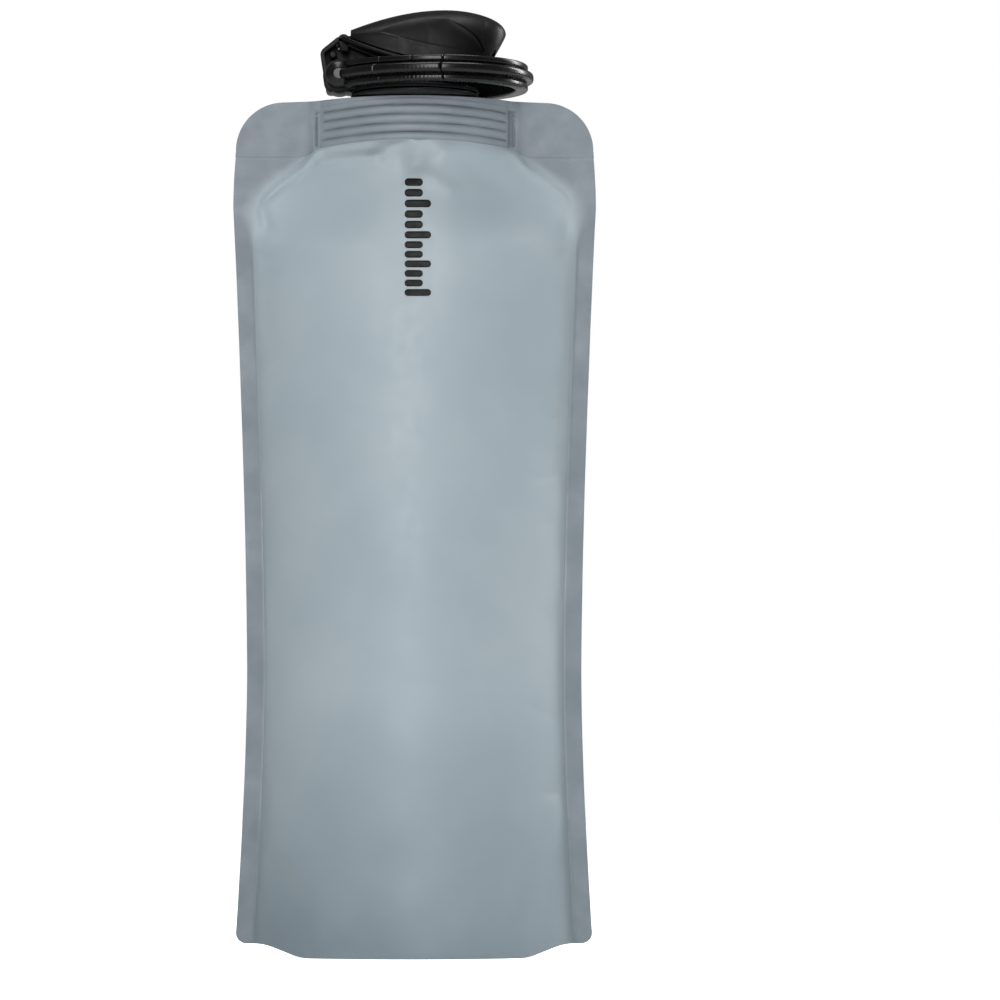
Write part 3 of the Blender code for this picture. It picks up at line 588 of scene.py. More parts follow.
BACK_CREASES = [
    (-0.031, 0.2570, -0.050, 0.2440, 0.0018, 0.00070),
    (0.031, 0.2570, 0.049, 0.2430, 0.0016, 0.00080),
    (0.027, 0.2550, 0.010, 0.2520, 0.0024, 0.00070),
    (-0.024, 0.2550, -0.008, 0.2540, 0.0022, -0.00070),
    (0.000, 0.2560, -0.002, 0.2440, 0.0075, -0.00110),
    (0.004, 0.2420, 0.002, 0.2060, 0.0080, -0.00080),
    (-0.051, 0.2430, -0.047, 0.2320, 0.0020, -0.00060),
    (0.047, 0.0480, 0.030, 0.0100, 0.0050, 0.00090),
    (-0.046, 0.0400, -0.027, 0.0080, 0.0042, -0.00080),
    (-0.012, 0.0260, 0.018, 0.0300, 0.0070, 0.00060),
]


def seam_puckers(seed):
    """Short dents that run in from both side welds."""
    draw = random.Random(seed)
    creases = []
    for side in (-1, 1):
        z = 0.030
        while z < 0.232:
            reach = draw.uniform(0.004, 0.011)
            start = side * (pouch_half_width(z) - SIDE_WELD)
            creases.append((start, z, start - side * reach, z + draw.uniform(-0.005, 0.006),
                            draw.uniform(0.0012, 0.0024), -draw.uniform(0.00012, 0.00042)))
            z += draw.uniform(0.009, 0.022)
    return creases


def crease_height(creases, x, z):
    total = 0.0
    for start_x, start_z, end_x, end_z, width, height in creases:
        run_x = end_x - start_x
        run_z = end_z - start_z
        length_squared = run_x ** 2 + run_z ** 2
        along = ((x - start_x) * run_x + (z - start_z) * run_z) / length_squared
        near = clamp(along)
        gap = math.hypot(x - start_x - near * run_x, z - start_z - near * run_z)
        if gap < 3.0 * width:
            total += height * math.exp(-(gap / width) ** 2)
    return total


def unevenness(x, z, phase):
    """Long, low waves in the film."""
    return (0.00022 * math.sin(58.0 * z + 31.0 * x + phase)
            + 0.00016 * math.sin(121.0 * z - 74.0 * x + 2.0 * phase)
            + 0.00010 * math.sin(215.0 * z + 143.0 * x + 3.0 * phase))


def seam_wave(x, z):
    """How the side welds ripple to the front and back; both walls share it."""
    share = smooth((abs(x) - 0.040) / 0.014)
    fade = smooth(z / 0.03) * smooth((0.262 - z) / 0.02)
    left = 0.00055 * math.sin(94.0 * z + 0.6) + 0.00030 * math.sin(236.0 * z)
    right = 0.00050 * math.sin(83.0 * z + 2.1) + 0.00032 * math.sin(251.0 * z + 1.0)
    return share * fade * (left if x < 0.0 else right)


def band_bottom(x):
    """The edge between the rigid neck band and the soft wall: under the last rib, then the weld line."""
    arch = RIB_ARCH * max(0.0, 1.0 - (x / FITMENT_FILM_HALF_LENGTH) ** 2)
    return FITMENT_BOTTOM + arch - (FITMENT_BOTTOM - WELD_LINE_Z) * smooth((abs(x) - 0.0316) / 0.005)


def wall_point(side, creases, x, level, lift=0.0):
    """A point of the soft wall's outer face; level is its height before the foot and neck shift it."""
    z = level + ear_lift(x) * clamp(1.0 - level / 0.06)
    rise = band_bottom(x) + BAND_OVERLAP - FITMENT_BOTTOM
    z += rise * smooth((level - 0.225) / (FITMENT_BOTTOM - 0.225))
    open_share = 1.0 - weld_share(x, level)
    edge = blown_half_width(level) - abs(x)
    detail = (crease_height(creases, x, level) + unevenness(x, level, 1.0 + side)) * smooth(edge / 0.004)
    detail *= smooth((FITMENT_BOTTOM - level) / 0.0022)
    sink = BAND_SINK * smooth((level - FITMENT_BOTTOM + 0.0016) / 0.0014)
    depth = max(SEAM_INNER + 0.0004, belly_depth(x, level) + detail * open_share - sink + lift)
    return (x, side * depth + seam_wave(x, level), z)


def wall_levels():
    foot = [FOOT_CORNER_RADIUS * (1.0 - math.cos(math.pi / 2 * i / 6)) for i in range(6)]
    body = even_steps(FOOT_CORNER_RADIUS, FOLDED_FROM_Z, 190)
    shoulder = even_steps(FOLDED_FROM_Z, FITMENT_BOTTOM, 44)
    return foot + body + shoulder[1:]


def wall_shares():
    """Shares of the half-width: even steps of a sine over the belly, then the weld."""
    weld = 0.895
    belly = [weld * step for step in edge_steps(120)]
    edge = even_steps(weld, 1.0, 8)[1:]
    return [-share for share in reversed(edge)] + belly + edge


def shell(name, rows, weld_and_groove_shade_rows, material):
    """A thin closed sheet: each row holds the outer points and then the inner points back again."""
    count = len(rows[0])
    half = count // 2
    vertices = [point for row in rows for point in row]
    faces = []
    for i in range(len(rows) - 1):
        faces += ring_faces(i * count, (i + 1) * count, count)
    for start in (0, (len(rows) - 1) * count):
        for i in range(half - 1):
            faces.append((start + i, start + i + 1, start + count - 2 - i, start + count - 1 - i))
    piece = new_piece(name, vertices, faces, material, 60.0, merge=0.0)
    # The "weld" attribute holds weld shares, and in the neck band painted shade in the rib grooves as
    # well.
    weld = piece.data.attributes.new("weld", "FLOAT", "POINT")
    weld.data.foreach_set("value", [value for row in weld_and_groove_shade_rows for value in row])
    return piece


def inner_of(point, side, middle):
    """The film's inner face behind an outer point."""
    depth = side * (point[1] - middle)
    return (point[0], middle + side * max(SEAM_INNER, depth - FILM), point[2])


def make_wall(name, side, creases, material):
    rows = []
    weld_and_groove_shade_rows = []
    for level in wall_levels():
        half_width = pouch_half_width(level)
        xs = [share * half_width for share in wall_shares()]
        outer = [wall_point(side, creases, x, level) for x in xs]
        inner = [inner_of(point, side, seam_wave(point[0], level)) for point in outer]
        weld = [weld_share(x, level) for x in xs]
        rows.append(outer + inner[::-1])
        weld_and_groove_shade_rows.append(weld + weld[::-1])
    return shell(name, rows, weld_and_groove_shade_rows, material)


def rib_groove(x, z):
    """1 in the dark lines between the fitment's pressed ribs, 0 on the ribs and beyond them."""
    count = (z - band_bottom(x)) / RIB_PITCH
    across = smooth((RIB_HALF_LENGTH - abs(x)) / 0.0012)
    if -0.5 < count < RIB_COUNT:
        return across * (1.0 - abs(math.sin(math.pi * count)) ** 0.55)
    return 0.0


def end_groove(x, z):
    """1 in the upright grooves at both ends of the ribs: thin on the left, wide on the right."""
    tall = smooth((z - 0.2587) / 0.0010) * smooth((0.2716 - z) / 0.0012)
    if x < 0.0:
        return tall * math.exp(-((x + 0.0315) / 0.00042) ** 2)
    return tall * smooth((x - 0.0298) / 0.0005) * smooth((0.0325 - x) / 0.0006)


def band_depth(side, x, z):
    """The rigid band round the fitment, with its ribs, end grooves and flat welded corners."""
    depth = SEAM + NECK_HALF_DEPTH * lens(x / FITMENT_FILM_HALF_LENGTH)
    depth += 0.00055 * math.exp(-((abs(x) - 0.0319) / 0.0016) ** 2)
    ribbed = smooth((RIB_HALF_LENGTH - abs(x)) / 0.0012)
    depth += RIB_HEIGHT * (0.35 * ribbed - rib_groove(x, z)) * smooth((z - band_bottom(x)) / 0.0006)
    depth -= 0.00040 * end_groove(side * -x, z)
    corner = smooth((abs(x) - 0.036) / 0.006)
    depth += corner * 0.00006 * (1.0 + math.sin(90.0 * x + 120.0 * z + side))
    return max(SEAM_INNER + 0.0002, depth)


def band_weld_and_groove_shade(side, x, z):
    """The share of the welded film's darker colour, on the welded corners and where the black fitment is
    behind the film; painted shade in the grooves between the ribs and at their ends goes past 1, into the
    darkest colour.
    """
    corner = smooth((abs(x) - 0.029) / 0.004)
    backed = 0.75 * smooth((0.031 - abs(x)) / 0.001)
    # Painted shade: 0.9 of rib_groove and 0.7 of end_groove darken the grooves.
    return corner + backed + 0.9 * rib_groove(x, z) + 0.7 * end_groove(side * -x, z)


def make_neck_band(name, side, material):
    """The welded top of one wall, and below it the film that drapes from the fitment when flat."""
    rows = []
    weld_and_groove_shade_rows = []
    count = 92
    levels = [WELD_LINE_Z + (FILM_TOP - WELD_LINE_Z) * math.sin(math.pi / 2 * i / count)
              for i in range(count + 1)]
    top_share = 1.0 / pouch_half_width(WELD_LINE_Z)
    groove_places = [-0.0331 + 0.0003 * i for i in range(11)] + [0.0290 + 0.0003 * i for i in range(14)]
    shares = sorted(wall_shares() + [place * top_share for place in groove_places])
    for level in levels:
        half_width = pouch_half_width(level)
        rise = (level - WELD_LINE_Z) / (FILM_TOP - WELD_LINE_Z)
        outer = []
        for share in shares:
            x = share * half_width
            top = FILM_TOP + TOP_ARCH * clamp(1.0 - (x / 0.042) ** 2)
            z = band_bottom(x) + rise * (top - band_bottom(x))
            outer.append((x, side * band_depth(side, x, z), z))
        inner = [inner_of(point, side, 0.0) for point in outer]
        # Weld shares, with painted shade in the rib grooves.
        weld = [band_weld_and_groove_shade(side, point[0], point[2]) for point in outer]
        rows.append(outer + inner[::-1])
        weld_and_groove_shade_rows.append(weld + weld[::-1])
    band = shell(name, rows, weld_and_groove_shade_rows, material)
    drape = make_drape(name + "_drape", side, material)
    return band, drape


def make_drape(name, side, material):
    """The stretch of film between the fitment and the flat pouch, inside the full one."""
    rows = []
    weld_and_groove_shade_rows = []
    steps = 30
    for i in range(steps + 1):
        share = i / steps
        half_width = FITMENT_FILM_HALF_LENGTH - 0.0012 - 0.006 * share
        outer = []
        for across in edge_steps(60):
            x = half_width * across
            top = band_bottom(x) + 0.0004
            z = top + (DRAPE_BOTTOM - top) * share
            full = NECK_HALF_DEPTH * lens(x / FITMENT_FILM_HALF_LENGTH) - 0.0004
            outer.append((x, side * max(0.0005, full * (1.0 - smooth(share)) + 0.0006), z))
        inner = [(point[0], side * 0.0002, point[2]) for point in outer]
        rows.append(outer + inner[::-1])
        weld_and_groove_shade_rows.append([0.0] * len(rows[-1]))
    return shell(name, rows, weld_and_groove_shade_rows, material)


def make_gusset(material):
    """The folded floor: flat under the middle and rising to its fold at both sides."""
    rows = []
    weld_and_groove_shade_rows = []
    for x in even_steps(-GUSSET_HALF_LENGTH, GUSSET_HALF_LENGTH, 110):
        half_depth = belly_depth(x, 0.0) - FILM - 0.0002
        rise = GUSSET_SIDE_RISE * clamp((abs(x) - GUSSET_FLAT_HALF_LENGTH) / 0.024) ** 1.5
        upper = []
        for across in edge_steps(60):
            inward = 1.0 - across ** 2
            crumple = 0.0005 * math.sin(170.0 * x + 3.0 * across) * inward * smooth(rise / 0.006)
            z = FILM + ear_lift(x) + crumple + max(0.0, rise - ear_lift(x)) * inward ** 0.7
            upper.append((x, across * half_depth, z))
        lower = [(x, y, z - GUSSET_FILM) for x, y, z in upper]
        rows.append(upper + lower[::-1])
        weld = [smooth((abs(point[1]) / half_depth - 0.93) / 0.04) for point in upper]
        weld_and_groove_shade_rows.append(weld + weld[::-1])
    return shell("gusset_skin", rows, weld_and_groove_shade_rows, material)


def make_level_marks(creases, material):
    """A printed column of rounded level bars, long and short in turn."""
    vertices = []
    faces = []
    bars = 12
    first_level = 0.2105
    pitch = 0.0031
    half_height = 0.0011
    centre = 0.0010
    columns = 24
    rows = 4
    for bar in range(bars):
        half_length = 0.0042 if bar % 3 == 0 else 0.0029
        middle = first_level + pitch * bar
        start = len(vertices)
        for i in range(columns + 1):
            across = math.cos(math.pi * (1.0 - i / columns))
            beyond = max(0.0, abs(across) * half_length - (half_length - half_height))
            tall = math.sqrt(max(0.0, half_height ** 2 - beyond ** 2))
            for j in range(rows + 1):
                level = middle + tall * (2.0 * j / rows - 1.0)
                x = centre - 0.0042 + half_length + across * half_length
                vertices.append(wall_point(-1, creases, x, level, PRINT_LIFT))
        for i in range(columns):
            first = start + i * (rows + 1)
            faces += ring_faces(first, first + rows + 1, rows + 1, closed=False)
    marks = new_piece("level_marks", vertices, faces, material)
    thickness = marks.modifiers.new("ink", "SOLIDIFY")
    thickness.thickness = 0.00006
    thickness.offset = 0.0
    settle(marks)
    return marks


def build_pouch():
    film = film_material()
    front_creases = FRONT_CREASES + seam_puckers(11)
    back_creases = BACK_CREASES + seam_puckers(29)
    walls = (("front", -1, front_creases, "front_film"), ("back", 1, back_creases, "back_film"))
    for word, side, creases, node in walls:
        wall = make_wall(word + "_wall_skin", side, creases, film)
        band, drape = make_neck_band(word + "_neck_band", side, film)
        for piece in (wall, band, drape):
            dress(piece, "pouch", "film", node)
        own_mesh(wall)
    gusset = make_gusset(film)
    dress(gusset, "pouch", "film", "gusset_film")
    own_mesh(gusset)
    marks = make_level_marks(front_creases, ink_material())
    dress(marks, "pouch", "film")
    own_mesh(marks)


# Spout

def make_thread(name, start_degrees, end_degrees, radius, start_z, ridge, material):
    """A rounded ridge along a helix, thinning out at both ends."""
    rings = []
    steps = 140
    around = 12
    for i in range(steps + 1):
        angle = math.radians(start_degrees + (end_degrees - start_degrees) * i / steps)
        height = start_z + THREAD_PITCH * angle / (2.0 * math.pi)
        full = ridge * (0.15 + 0.85 * smooth(min(i, steps - i) / 12))
        rings.append([((radius + full * math.cos(turn)) * math.cos(angle),
                       (radius + full * math.cos(turn)) * math.sin(angle),
                       height + full * math.sin(turn))
                      for turn in (2.0 * math.pi * k / around for k in range(around))])
    return loft(name, rings, material)


def build_spout():
    plastic = moulded_material("black polyethylene", (0.0040, 0.0040, 0.0044), (0.0065, 0.0065, 0.0068),
                               0.46, 1800.0, 0.14, 0.2)
    neck = turned("neck", rounded([
        (NECK_RADIUS, NECK_TOP), (NECK_RADIUS, FLANGE_TOP), (FLANGE_RADIUS, FLANGE_TOP),
        (FLANGE_RADIUS, FLANGE_BOTTOM), (0.0110, FLANGE_BOTTOM), (0.0110, FITMENT_BOTTOM),
        (NECK_BORE, FITMENT_BOTTOM), (NECK_BORE, FLANGE_BOTTOM), (MOUTH_BORE, FLANGE_TOP),
        (MOUTH_BORE, NECK_TOP)],
        [0.0005, 0.0003, 0.00045, 0.00045, 0.0003, 0.0003, 0.0002, 0.0004, 0.0004, 0.0004]),
        material=plastic)
    shares = edge_steps(40)
    front = [(BOAT_HALF_LENGTH * s, -BOAT_HALF_DEPTH * lens(s)) for s in shares]
    back = [(BOAT_HALF_LENGTH * s, BOAT_HALF_DEPTH * lens(s)) for s in reversed(shares[1:-1])]
    boat = plan_solid("boat", front + back, FITMENT_BOTTOM, BOAT_TOP, plastic)
    cut(boat, plan_solid("bore", circle(0.0105, 0.0, 0.0), 0.25, 0.28))
    give_material(boat, plastic)
    thread = make_thread("thread", 30, 370, NECK_RADIUS + 0.0001, THREAD_START_Z, THREAD_RIDGE, plastic)
    spout = join("spout_moulding", [neck, boat, thread])
    dress(spout, "pouch", "fitment", "spout_fitment")


# Cap

def lid_half_width(x):
    if x < LID_WIDEST:
        share = min(1.0, (LID_WIDEST - x) / (LID_WIDEST - LID_BACK))
        return LID_BACK_HALF_WIDTH + (LID_HALF_WIDTH - LID_BACK_HALF_WIDTH) * math.sqrt(1.0 - share ** 2)
    share = min(1.0, (x - LID_WIDEST) / (LID_NOSE - LID_WIDEST))
    return LID_HALF_WIDTH * (1.0 - share ** LID_PLAN_POWER) ** (1.0 / LID_PLAN_POWER)


def lid_top(x):
    if x < LID_CREST_X:
        share = (LID_CREST_X - x) / (LID_CREST_X - LID_BACK)
        return LID_CREST_Z - LID_BACK_DROP * share ** 1.9
    share = min(1.0, (x - LID_CREST_X) / (LID_NOSE - LID_CREST_X))
    return LID_NOSE_Z + (LID_CREST_Z - LID_NOSE_Z) * math.sqrt(1.0 - share ** 2)


def lid_bottom(x):
    """The lid's sagging lower edge, then its chin, which climbs to the nose."""
    if x < LID_CHIN_X:
        share = (LID_CHIN_X - x) / (LID_CHIN_X - LID_BACK)
        return LID_CHIN_Z + LID_BACK_RISE * share ** 2.2
    share = (x - LID_CHIN_X) / (LID_NOSE - LID_CHIN_X)
    return LID_CHIN_Z + (LID_NOSE_Z - LID_CHIN_Z) * share


def cut_hinge_trough(piece):
    """Room for the lid's knuckle between the two lugs."""
    reach = LID_KNUCKLE_HALF + CLEARANCE
    trough = circle(HINGE_BARREL + 3.0 * CLEARANCE, HINGE_X, HINGE_Z)
    cut(piece, side_solid("trough", trough, -reach, reach))


def make_deck(material):
    """The cap's curved top plate, which follows the lid's lower edge and rounds off in front."""
    rings = []
    start = LID_BACK + 0.0006
    taper_start = 0.0150
    taper_power = 2.6
    end = 0.0248
    for i in range(101):
        x = start + (end - start) * math.sin(math.pi / 2 * i / 100)
        half_width = lid_half_width(x) + DECK_MARGIN
        if x > taper_start:
            share = min(0.9995, (x - taper_start) / (end - taper_start))
            half_width *= (1.0 - share ** taper_power) ** (1.0 / taper_power)
        top = lid_bottom(min(x, LID_CHIN_X)) - LID_GAP - 0.0009 * smooth((x - 0.0195) / 0.0055)
        under = top - DECK_THICKNESS
        section = rounded([(-half_width, top), (half_width, top), (half_width, under),
                           (-half_width, under)], min(0.0006, half_width / 3))
        rings.append([(x, y, z) for y, z in section])
    deck = loft("deck", rings, material)
    cut_hinge_trough(deck)
    return deck


def make_cap_shell(material):
    """The threaded cap: a two-plate skirt, a fluted waist and a turret, hollow underneath."""
    return turned("cap_shell", rounded([
        (CHANNEL_RADIUS, CAP_TOP), (TURRET_RADIUS, CAP_TOP), (TURRET_RADIUS, CAP_SHOULDER + 0.0012),
        (CAP_RADIUS, CAP_SHOULDER), (CAP_RADIUS, SKIRT_TOP + 0.0008), (SKIRT_RADIUS - 0.0006, SKIRT_TOP),
        (SKIRT_RADIUS, SKIRT_TOP - 0.0003), (SKIRT_RADIUS, CAP_BOTTOM), (CAP_BORE, CAP_BOTTOM),
        (CAP_BORE, SEAL_RECESS_BOTTOM), (SEAL_RECESS_RADIUS, SEAL_RECESS_BOTTOM),
        (SEAL_RECESS_RADIUS, CAP_CEILING), (CHANNEL_RADIUS, CAP_CEILING)],
        [0.0002, 0.0005, 0.0004, 0.0, 0.0, 0.0003, 0.0002, 0.0003, 0.0003, 0.0, 0.0, 0.0, 0.0]),
        material=material, segments=288, flutes=36)


def web_outline(inset=0.0):
    """The web's side view: up its back, round the shoulder to the hinge, and along under the deck."""
    top = [(x, lid_bottom(x) - LID_GAP - 0.0006 - inset) for x in (-0.020, -0.016, -0.012, -0.006 - inset)]
    front = [(-0.006 - inset, 0.2842 + inset), (-0.0156 - inset, 0.2840 + inset),
             (-0.0156 - inset, 0.2770 + inset)]
    back = [(-0.0284 + inset, 0.2768 + inset), (-0.0303 + inset, 0.2885),
            (-0.0297 + inset, 0.2898 - inset / 2), (-0.0247 + inset / 2, 0.2939 - inset)]
    return top + front + back


def make_web(material):
    """The upright web behind the cap: a strap round a sunk panel, an eyelet and a small boss."""
    strap = 0.0013
    corners = [0.0, 0.001, 0.001, 0.0008, 0.0005, 0.0008, 0.0015, 0.0016, 0.0020, 0.0024, 0.0008]
    web = side_solid("web", rounded(web_outline(), corners, 6), -WEB_HALF_WIDTH, WEB_HALF_WIDTH, material)
    panel = rounded(web_outline(strap), corners, 6)
    depth = 0.0055
    for side in (-1, 1):
        inner = side * (WEB_HALF_WIDTH - depth)
        outer = side * (WEB_HALF_WIDTH + 0.002)
        cut(web, side_solid("pocket", panel, *sorted((inner, outer))))
    cut_hinge_trough(web)
    cut(web, side_solid("eyelet", circle(EYELET_RADIUS, BAR_X, BAR_Z), -0.012, 0.012))
    give_material(web, material)
    soften_edges(web, 0.00022, segments=2)
    reach = WEB_HALF_WIDTH - 0.0001
    collar_radius = KNUCKLE_RADIUS + 0.0009
    collar = turned_across("collar", rounded([
        (collar_radius, -reach), (collar_radius, reach), (EYELET_RADIUS, reach), (EYELET_RADIUS, -reach)],
        0.0004), BAR_X, BAR_Z, material)
    boss = turned_across("boss", disc_outline(0.0012, -0.0066, 0.0066, 0.0005), -0.0262, 0.2884, material)
    return [web, collar, boss]


def hinge_lug(side, material):
    foot_z = HINGE_Z - 0.0036
    outline = arc(HINGE_BARREL, HINGE_X, HINGE_Z, -20.0, 185.0, 28)
    outline += [(HINGE_X - 0.0006, foot_z), (HINGE_X + 0.0016, foot_z)]
    inner = side * (LID_KNUCKLE_HALF + CLEARANCE)
    outer = side * WEB_HALF_WIDTH
    lug = side_solid("hinge_lug", outline, *sorted((inner, outer)), material)
    soften_edges(lug, 0.0003)
    return lug


def build_cap(satin, rubber):
    pieces = [make_cap_shell(satin), make_deck(satin)] + make_web(satin)
    pieces += [hinge_lug(side, satin) for side in (-1, 1)]
    cap = join("cap_moulding", pieces)
    dress(cap, "cap", "cap", "cap_body")
    bottom = CAP_TOP + CLEARANCE
    nozzle = turned("nozzle", rounded([
        (0.0055, 0.2950), (0.0060, 0.2945), (0.0062, 0.2915), (0.0052, 0.2895), (0.0060, 0.2878),
        (0.0078, 0.2874), (0.0078, bottom), (0.0030, bottom), (0.0030, 0.2950)],
        0.0004), (MOUTHPIECE_X, 0.0), rubber)
    dress(nozzle, "cap", "silicone", "mouthpiece")
    seal_top = CAP_CEILING - CLEARANCE
    seal_bottom = NECK_TOP + CLEARANCE
    seal = turned("seal_ring", rounded([
        (0.0132, seal_top), (0.0132, seal_bottom), (0.0098, seal_bottom), (0.0098, seal_top)], 0.0003),
        material=rubber)
    dress(seal, "seal", "silicone", "cap_seal")


# Lid

def scoop_lip(x):
    """The crisp lower edge of the thumb scoop in the lid's side."""
    return SCOOP_LIP_Z + SCOOP_LIP_RISE * clamp((SCOOP_LIP_FRONT - x) / SCOOP_LIP_LENGTH) ** 1.45


def scoop_height(x):
    """How far the scoop reaches above its lower edge: a leaf, pointed behind and round in front."""
    if x > SCOOP_MIDDLE_X:
        share = (x - SCOOP_MIDDLE_X) / SCOOP_FRONT_LENGTH
        return SCOOP_HEIGHT * math.sqrt(max(0.0, 1.0 - share ** 2))
    share = (SCOOP_MIDDLE_X - x) / SCOOP_BACK_LENGTH
    return SCOOP_HEIGHT * max(0.0, 1.0 - share ** 1.8)


def scoop_depth(x, z):
    """The recess: a ledge along its lower edge, a crisp round front end, fading out behind and above."""
    height = scoop_height(x)
    if height <= 0.0 or z <= scoop_lip(x):
        return 0.0
    share = clamp((z - scoop_lip(x)) / height)
    ledge = smooth((z - scoop_lip(x)) / 0.0005)
    front = smooth((x - 0.004) / 0.012)
    behind = clamp((x - SCOOP_MIDDLE_X + SCOOP_BACK_LENGTH) / 0.016)
    round_off = max(0.0, 1.0 - share ** (2.0 + 2.5 * front)) ** (1.0 - 0.3 * front)
    return SCOOP_DEPTH * ledge * behind * round_off


def lid_side(x, z):
    """Half the lid's width at a height: upright low down, then a rounded top."""
    share = clamp((z - lid_bottom(x)) / (lid_top(x) - lid_bottom(x)))
    sine = clamp((share - LID_UPRIGHT) / (1.0 - LID_UPRIGHT)) ** (LID_SECTION_POWER / 2.0)
    return lid_half_width(x) * max(0.0, 1.0 - sine ** 2) ** (1.0 / LID_SECTION_POWER)


def lid_levels(x):
    """Heights up one side: below the scoop, its ledge, the scoop itself, and over to the crest."""
    bottom = lid_bottom(x)
    top = lid_top(x)
    tall = top - bottom
    lip = min(max(scoop_lip(x), bottom + 0.15 * tall), bottom + 0.60 * tall)
    upper = min(lip + max(scoop_height(x), 0.1 * tall), bottom + 0.92 * tall)
    edge = min(0.00025, tall / 8)
    levels = [bottom + edge + (lip - bottom - edge) * i / 10 for i in range(11)]
    ledge = min(0.0006, (upper - lip) / 3)
    levels += [lip + ledge * i / 4 for i in range(1, 5)]
    levels += [lip + ledge + (upper - lip - ledge) * i / 16 for i in range(1, 17)]
    start = math.asin(clamp((upper - bottom) / tall))
    levels += [bottom + tall * math.sin(start + (math.pi / 2 - start) * i / 22) for i in range(1, 23)]
    return levels


def lid_section(x):
    """A cross-section as one loop: over the outside, then back through the hollow underneath."""
    bottom = lid_bottom(x)
    half_width = lid_half_width(x)
    corner = min(0.00025, half_width / 4)
    left = [(x, -half_width + corner, bottom)]
    for z in lid_levels(x):
        left.append((x, -max(0.0, lid_side(x, z) - scoop_depth(x, z)), z))
    right = [(x, -y, z) for x, y, z in reversed(left[:-1])]
    opened = smooth((x - LID_HOLLOW_BACK) / 0.0016) * smooth((LID_HOLLOW_FRONT - x) / 0.0016)
    inner_half = max(0.0002, half_width - LID_WALL)
    inner_height = max(0.0, lid_top(x) - LID_WALL - bottom) * opened
    inner = []
    inner_steps = 48
    power = 2.0 / LID_SECTION_POWER
    for i in range(inner_steps + 1):
        angle = math.pi * i / inner_steps
        side = math.copysign(abs(math.cos(angle)) ** power, math.cos(angle))
        inner.append((x, inner_half * side, bottom + inner_height * math.sin(angle) ** power))
    return left + right + inner


def build_lid(satin, rubber):
    front = LID_NOSE - 0.00004
    count = 190
    stations = [LID_START_X + (front - LID_START_X) * (0.5 - 0.5 * math.cos(math.pi * i / count))
                for i in range(count + 1)]
    shell_piece = loft("shell", [lid_section(x) for x in stations], satin, 50.0)
    knuckle = turned_across("knuckle", disc_outline(HINGE_BARREL, -LID_KNUCKLE_HALF, LID_KNUCKLE_HALF,
                                                    0.0003, 0.0009), HINGE_X, HINGE_Z, satin)
    tongue_x = HINGE_X + 0.0060
    tongue = side_solid("tongue", [
        (HINGE_X, HINGE_Z + 0.0015), (tongue_x, lid_top(tongue_x) - 0.0024),
        (tongue_x, lid_bottom(tongue_x) + 0.0001), (HINGE_X + 0.0006, HINGE_Z + 0.0005)],
        -LID_KNUCKLE_HALF, LID_KNUCKLE_HALF, satin)
    lid = join("lid_moulding", [shell_piece, knuckle, tongue])
    dress(lid, "lid", "cap", "lid_shell")
    plug = turned("plug", rounded([
        (PINHOLE, 0.2999), (0.0050, 0.2999), (0.0050, 0.2953), (0.0026, 0.2953), (0.0024, 0.2936),
        (PINHOLE, 0.2936)], [0.0, 0.0003, 0.0003, 0.0002, 0.0004, 0.0]), (MOUTHPIECE_X, 0.0), rubber)
    dress(plug, "lid", "silicone", "lid_plug")


# Carabiner

def ring_point(angle, offset):
    """A point beside the carabiner's centre line: a round bow, and a longer back half."""
    reach = RING_RADIUS if math.cos(angle) >= 0.0 else RING_BACK_RADIUS
    normal = (math.cos(angle) / reach, math.sin(angle) / RING_RADIUS)
    length = math.hypot(*normal)
    return (RING_CENTRE_X + reach * math.cos(angle) + offset * normal[0] / length,
            RING_RADIUS * math.sin(angle) + offset * normal[1] / length)


def near_side_angle(x):
    reach = RING_RADIUS if x >= RING_CENTRE_X else RING_BACK_RADIUS
    return -math.acos((x - RING_CENTRE_X) / reach)


def ring_section(bottom, top):
    """Two rounded flanges with a bulging rib between them."""
    low_rib = RING_MIDDLE - RIB_HALF_HEIGHT
    high_rib = RING_MIDDLE + RIB_HALF_HEIGHT
    flange = RING_FLANGE + 0.0011
    valley = 0.0005
    corners = [(RING_INNER, bottom), (flange, bottom), (flange, low_rib - valley),
               (RING_FLANGE + 0.0002, low_rib), (RING_RIB, low_rib + valley),
               (RING_RIB, high_rib - valley), (RING_FLANGE + 0.0002, high_rib),
               (flange, high_rib + valley), (flange, top), (RING_INNER, top)]
    upper_radii = [0.0010, 0.0013, 0.0006, 0.0003, 0.0013]
    return rounded(corners, upper_radii + upper_radii[::-1], 6)


def grip_relief(x, y, offset, z):
    """Moulded details of the near side: seam ticks on the flange and fine serrations on the rib."""
    if y > 0.0:
        return 0.0
    tick_x = -0.0011
    grip_half = 0.0085
    relief = 0.0
    if z > RING_MIDDLE + RIB_HALF_HEIGHT or z < RING_MIDDLE - RIB_HALF_HEIGHT:
        relief -= 0.00035 * math.exp(-((x - tick_x) / 0.00022) ** 2)
    if offset > RING_FLANGE + 0.0006 and z < RING_MIDDLE + 0.0002:
        along = smooth((x + grip_half) / 0.001) * smooth((grip_half - x) / 0.001)
        relief -= 0.00004 * along * (0.5 + 0.5 * math.cos(2.0 * math.pi * x / 0.0013)) ** 2
    return relief


def gate_pin_place():
    return ring_point(near_side_angle(GATE_PIN_X), GATE_PIN_OFFSET)


def upright_end(angle):
    """An end of a stretch of ring that is square to the ring."""
    return lambda offset: angle


def pin_round_end(reach, from_x, to_x):
    """An end that follows a circle round the gate's pin, so that the gate swings clear of it."""
    pin_x, pin_y = gate_pin_place()

    def angle_at(offset):
        low = near_side_angle(from_x)
        high = near_side_angle(to_x)
        for _ in range(40):
            middle = (low + high) / 2
            x, y = ring_point(middle, offset)
            if math.hypot(x - pin_x, y - pin_y) < reach:
                low = middle
            else:
                high = middle
        return low

    return angle_at


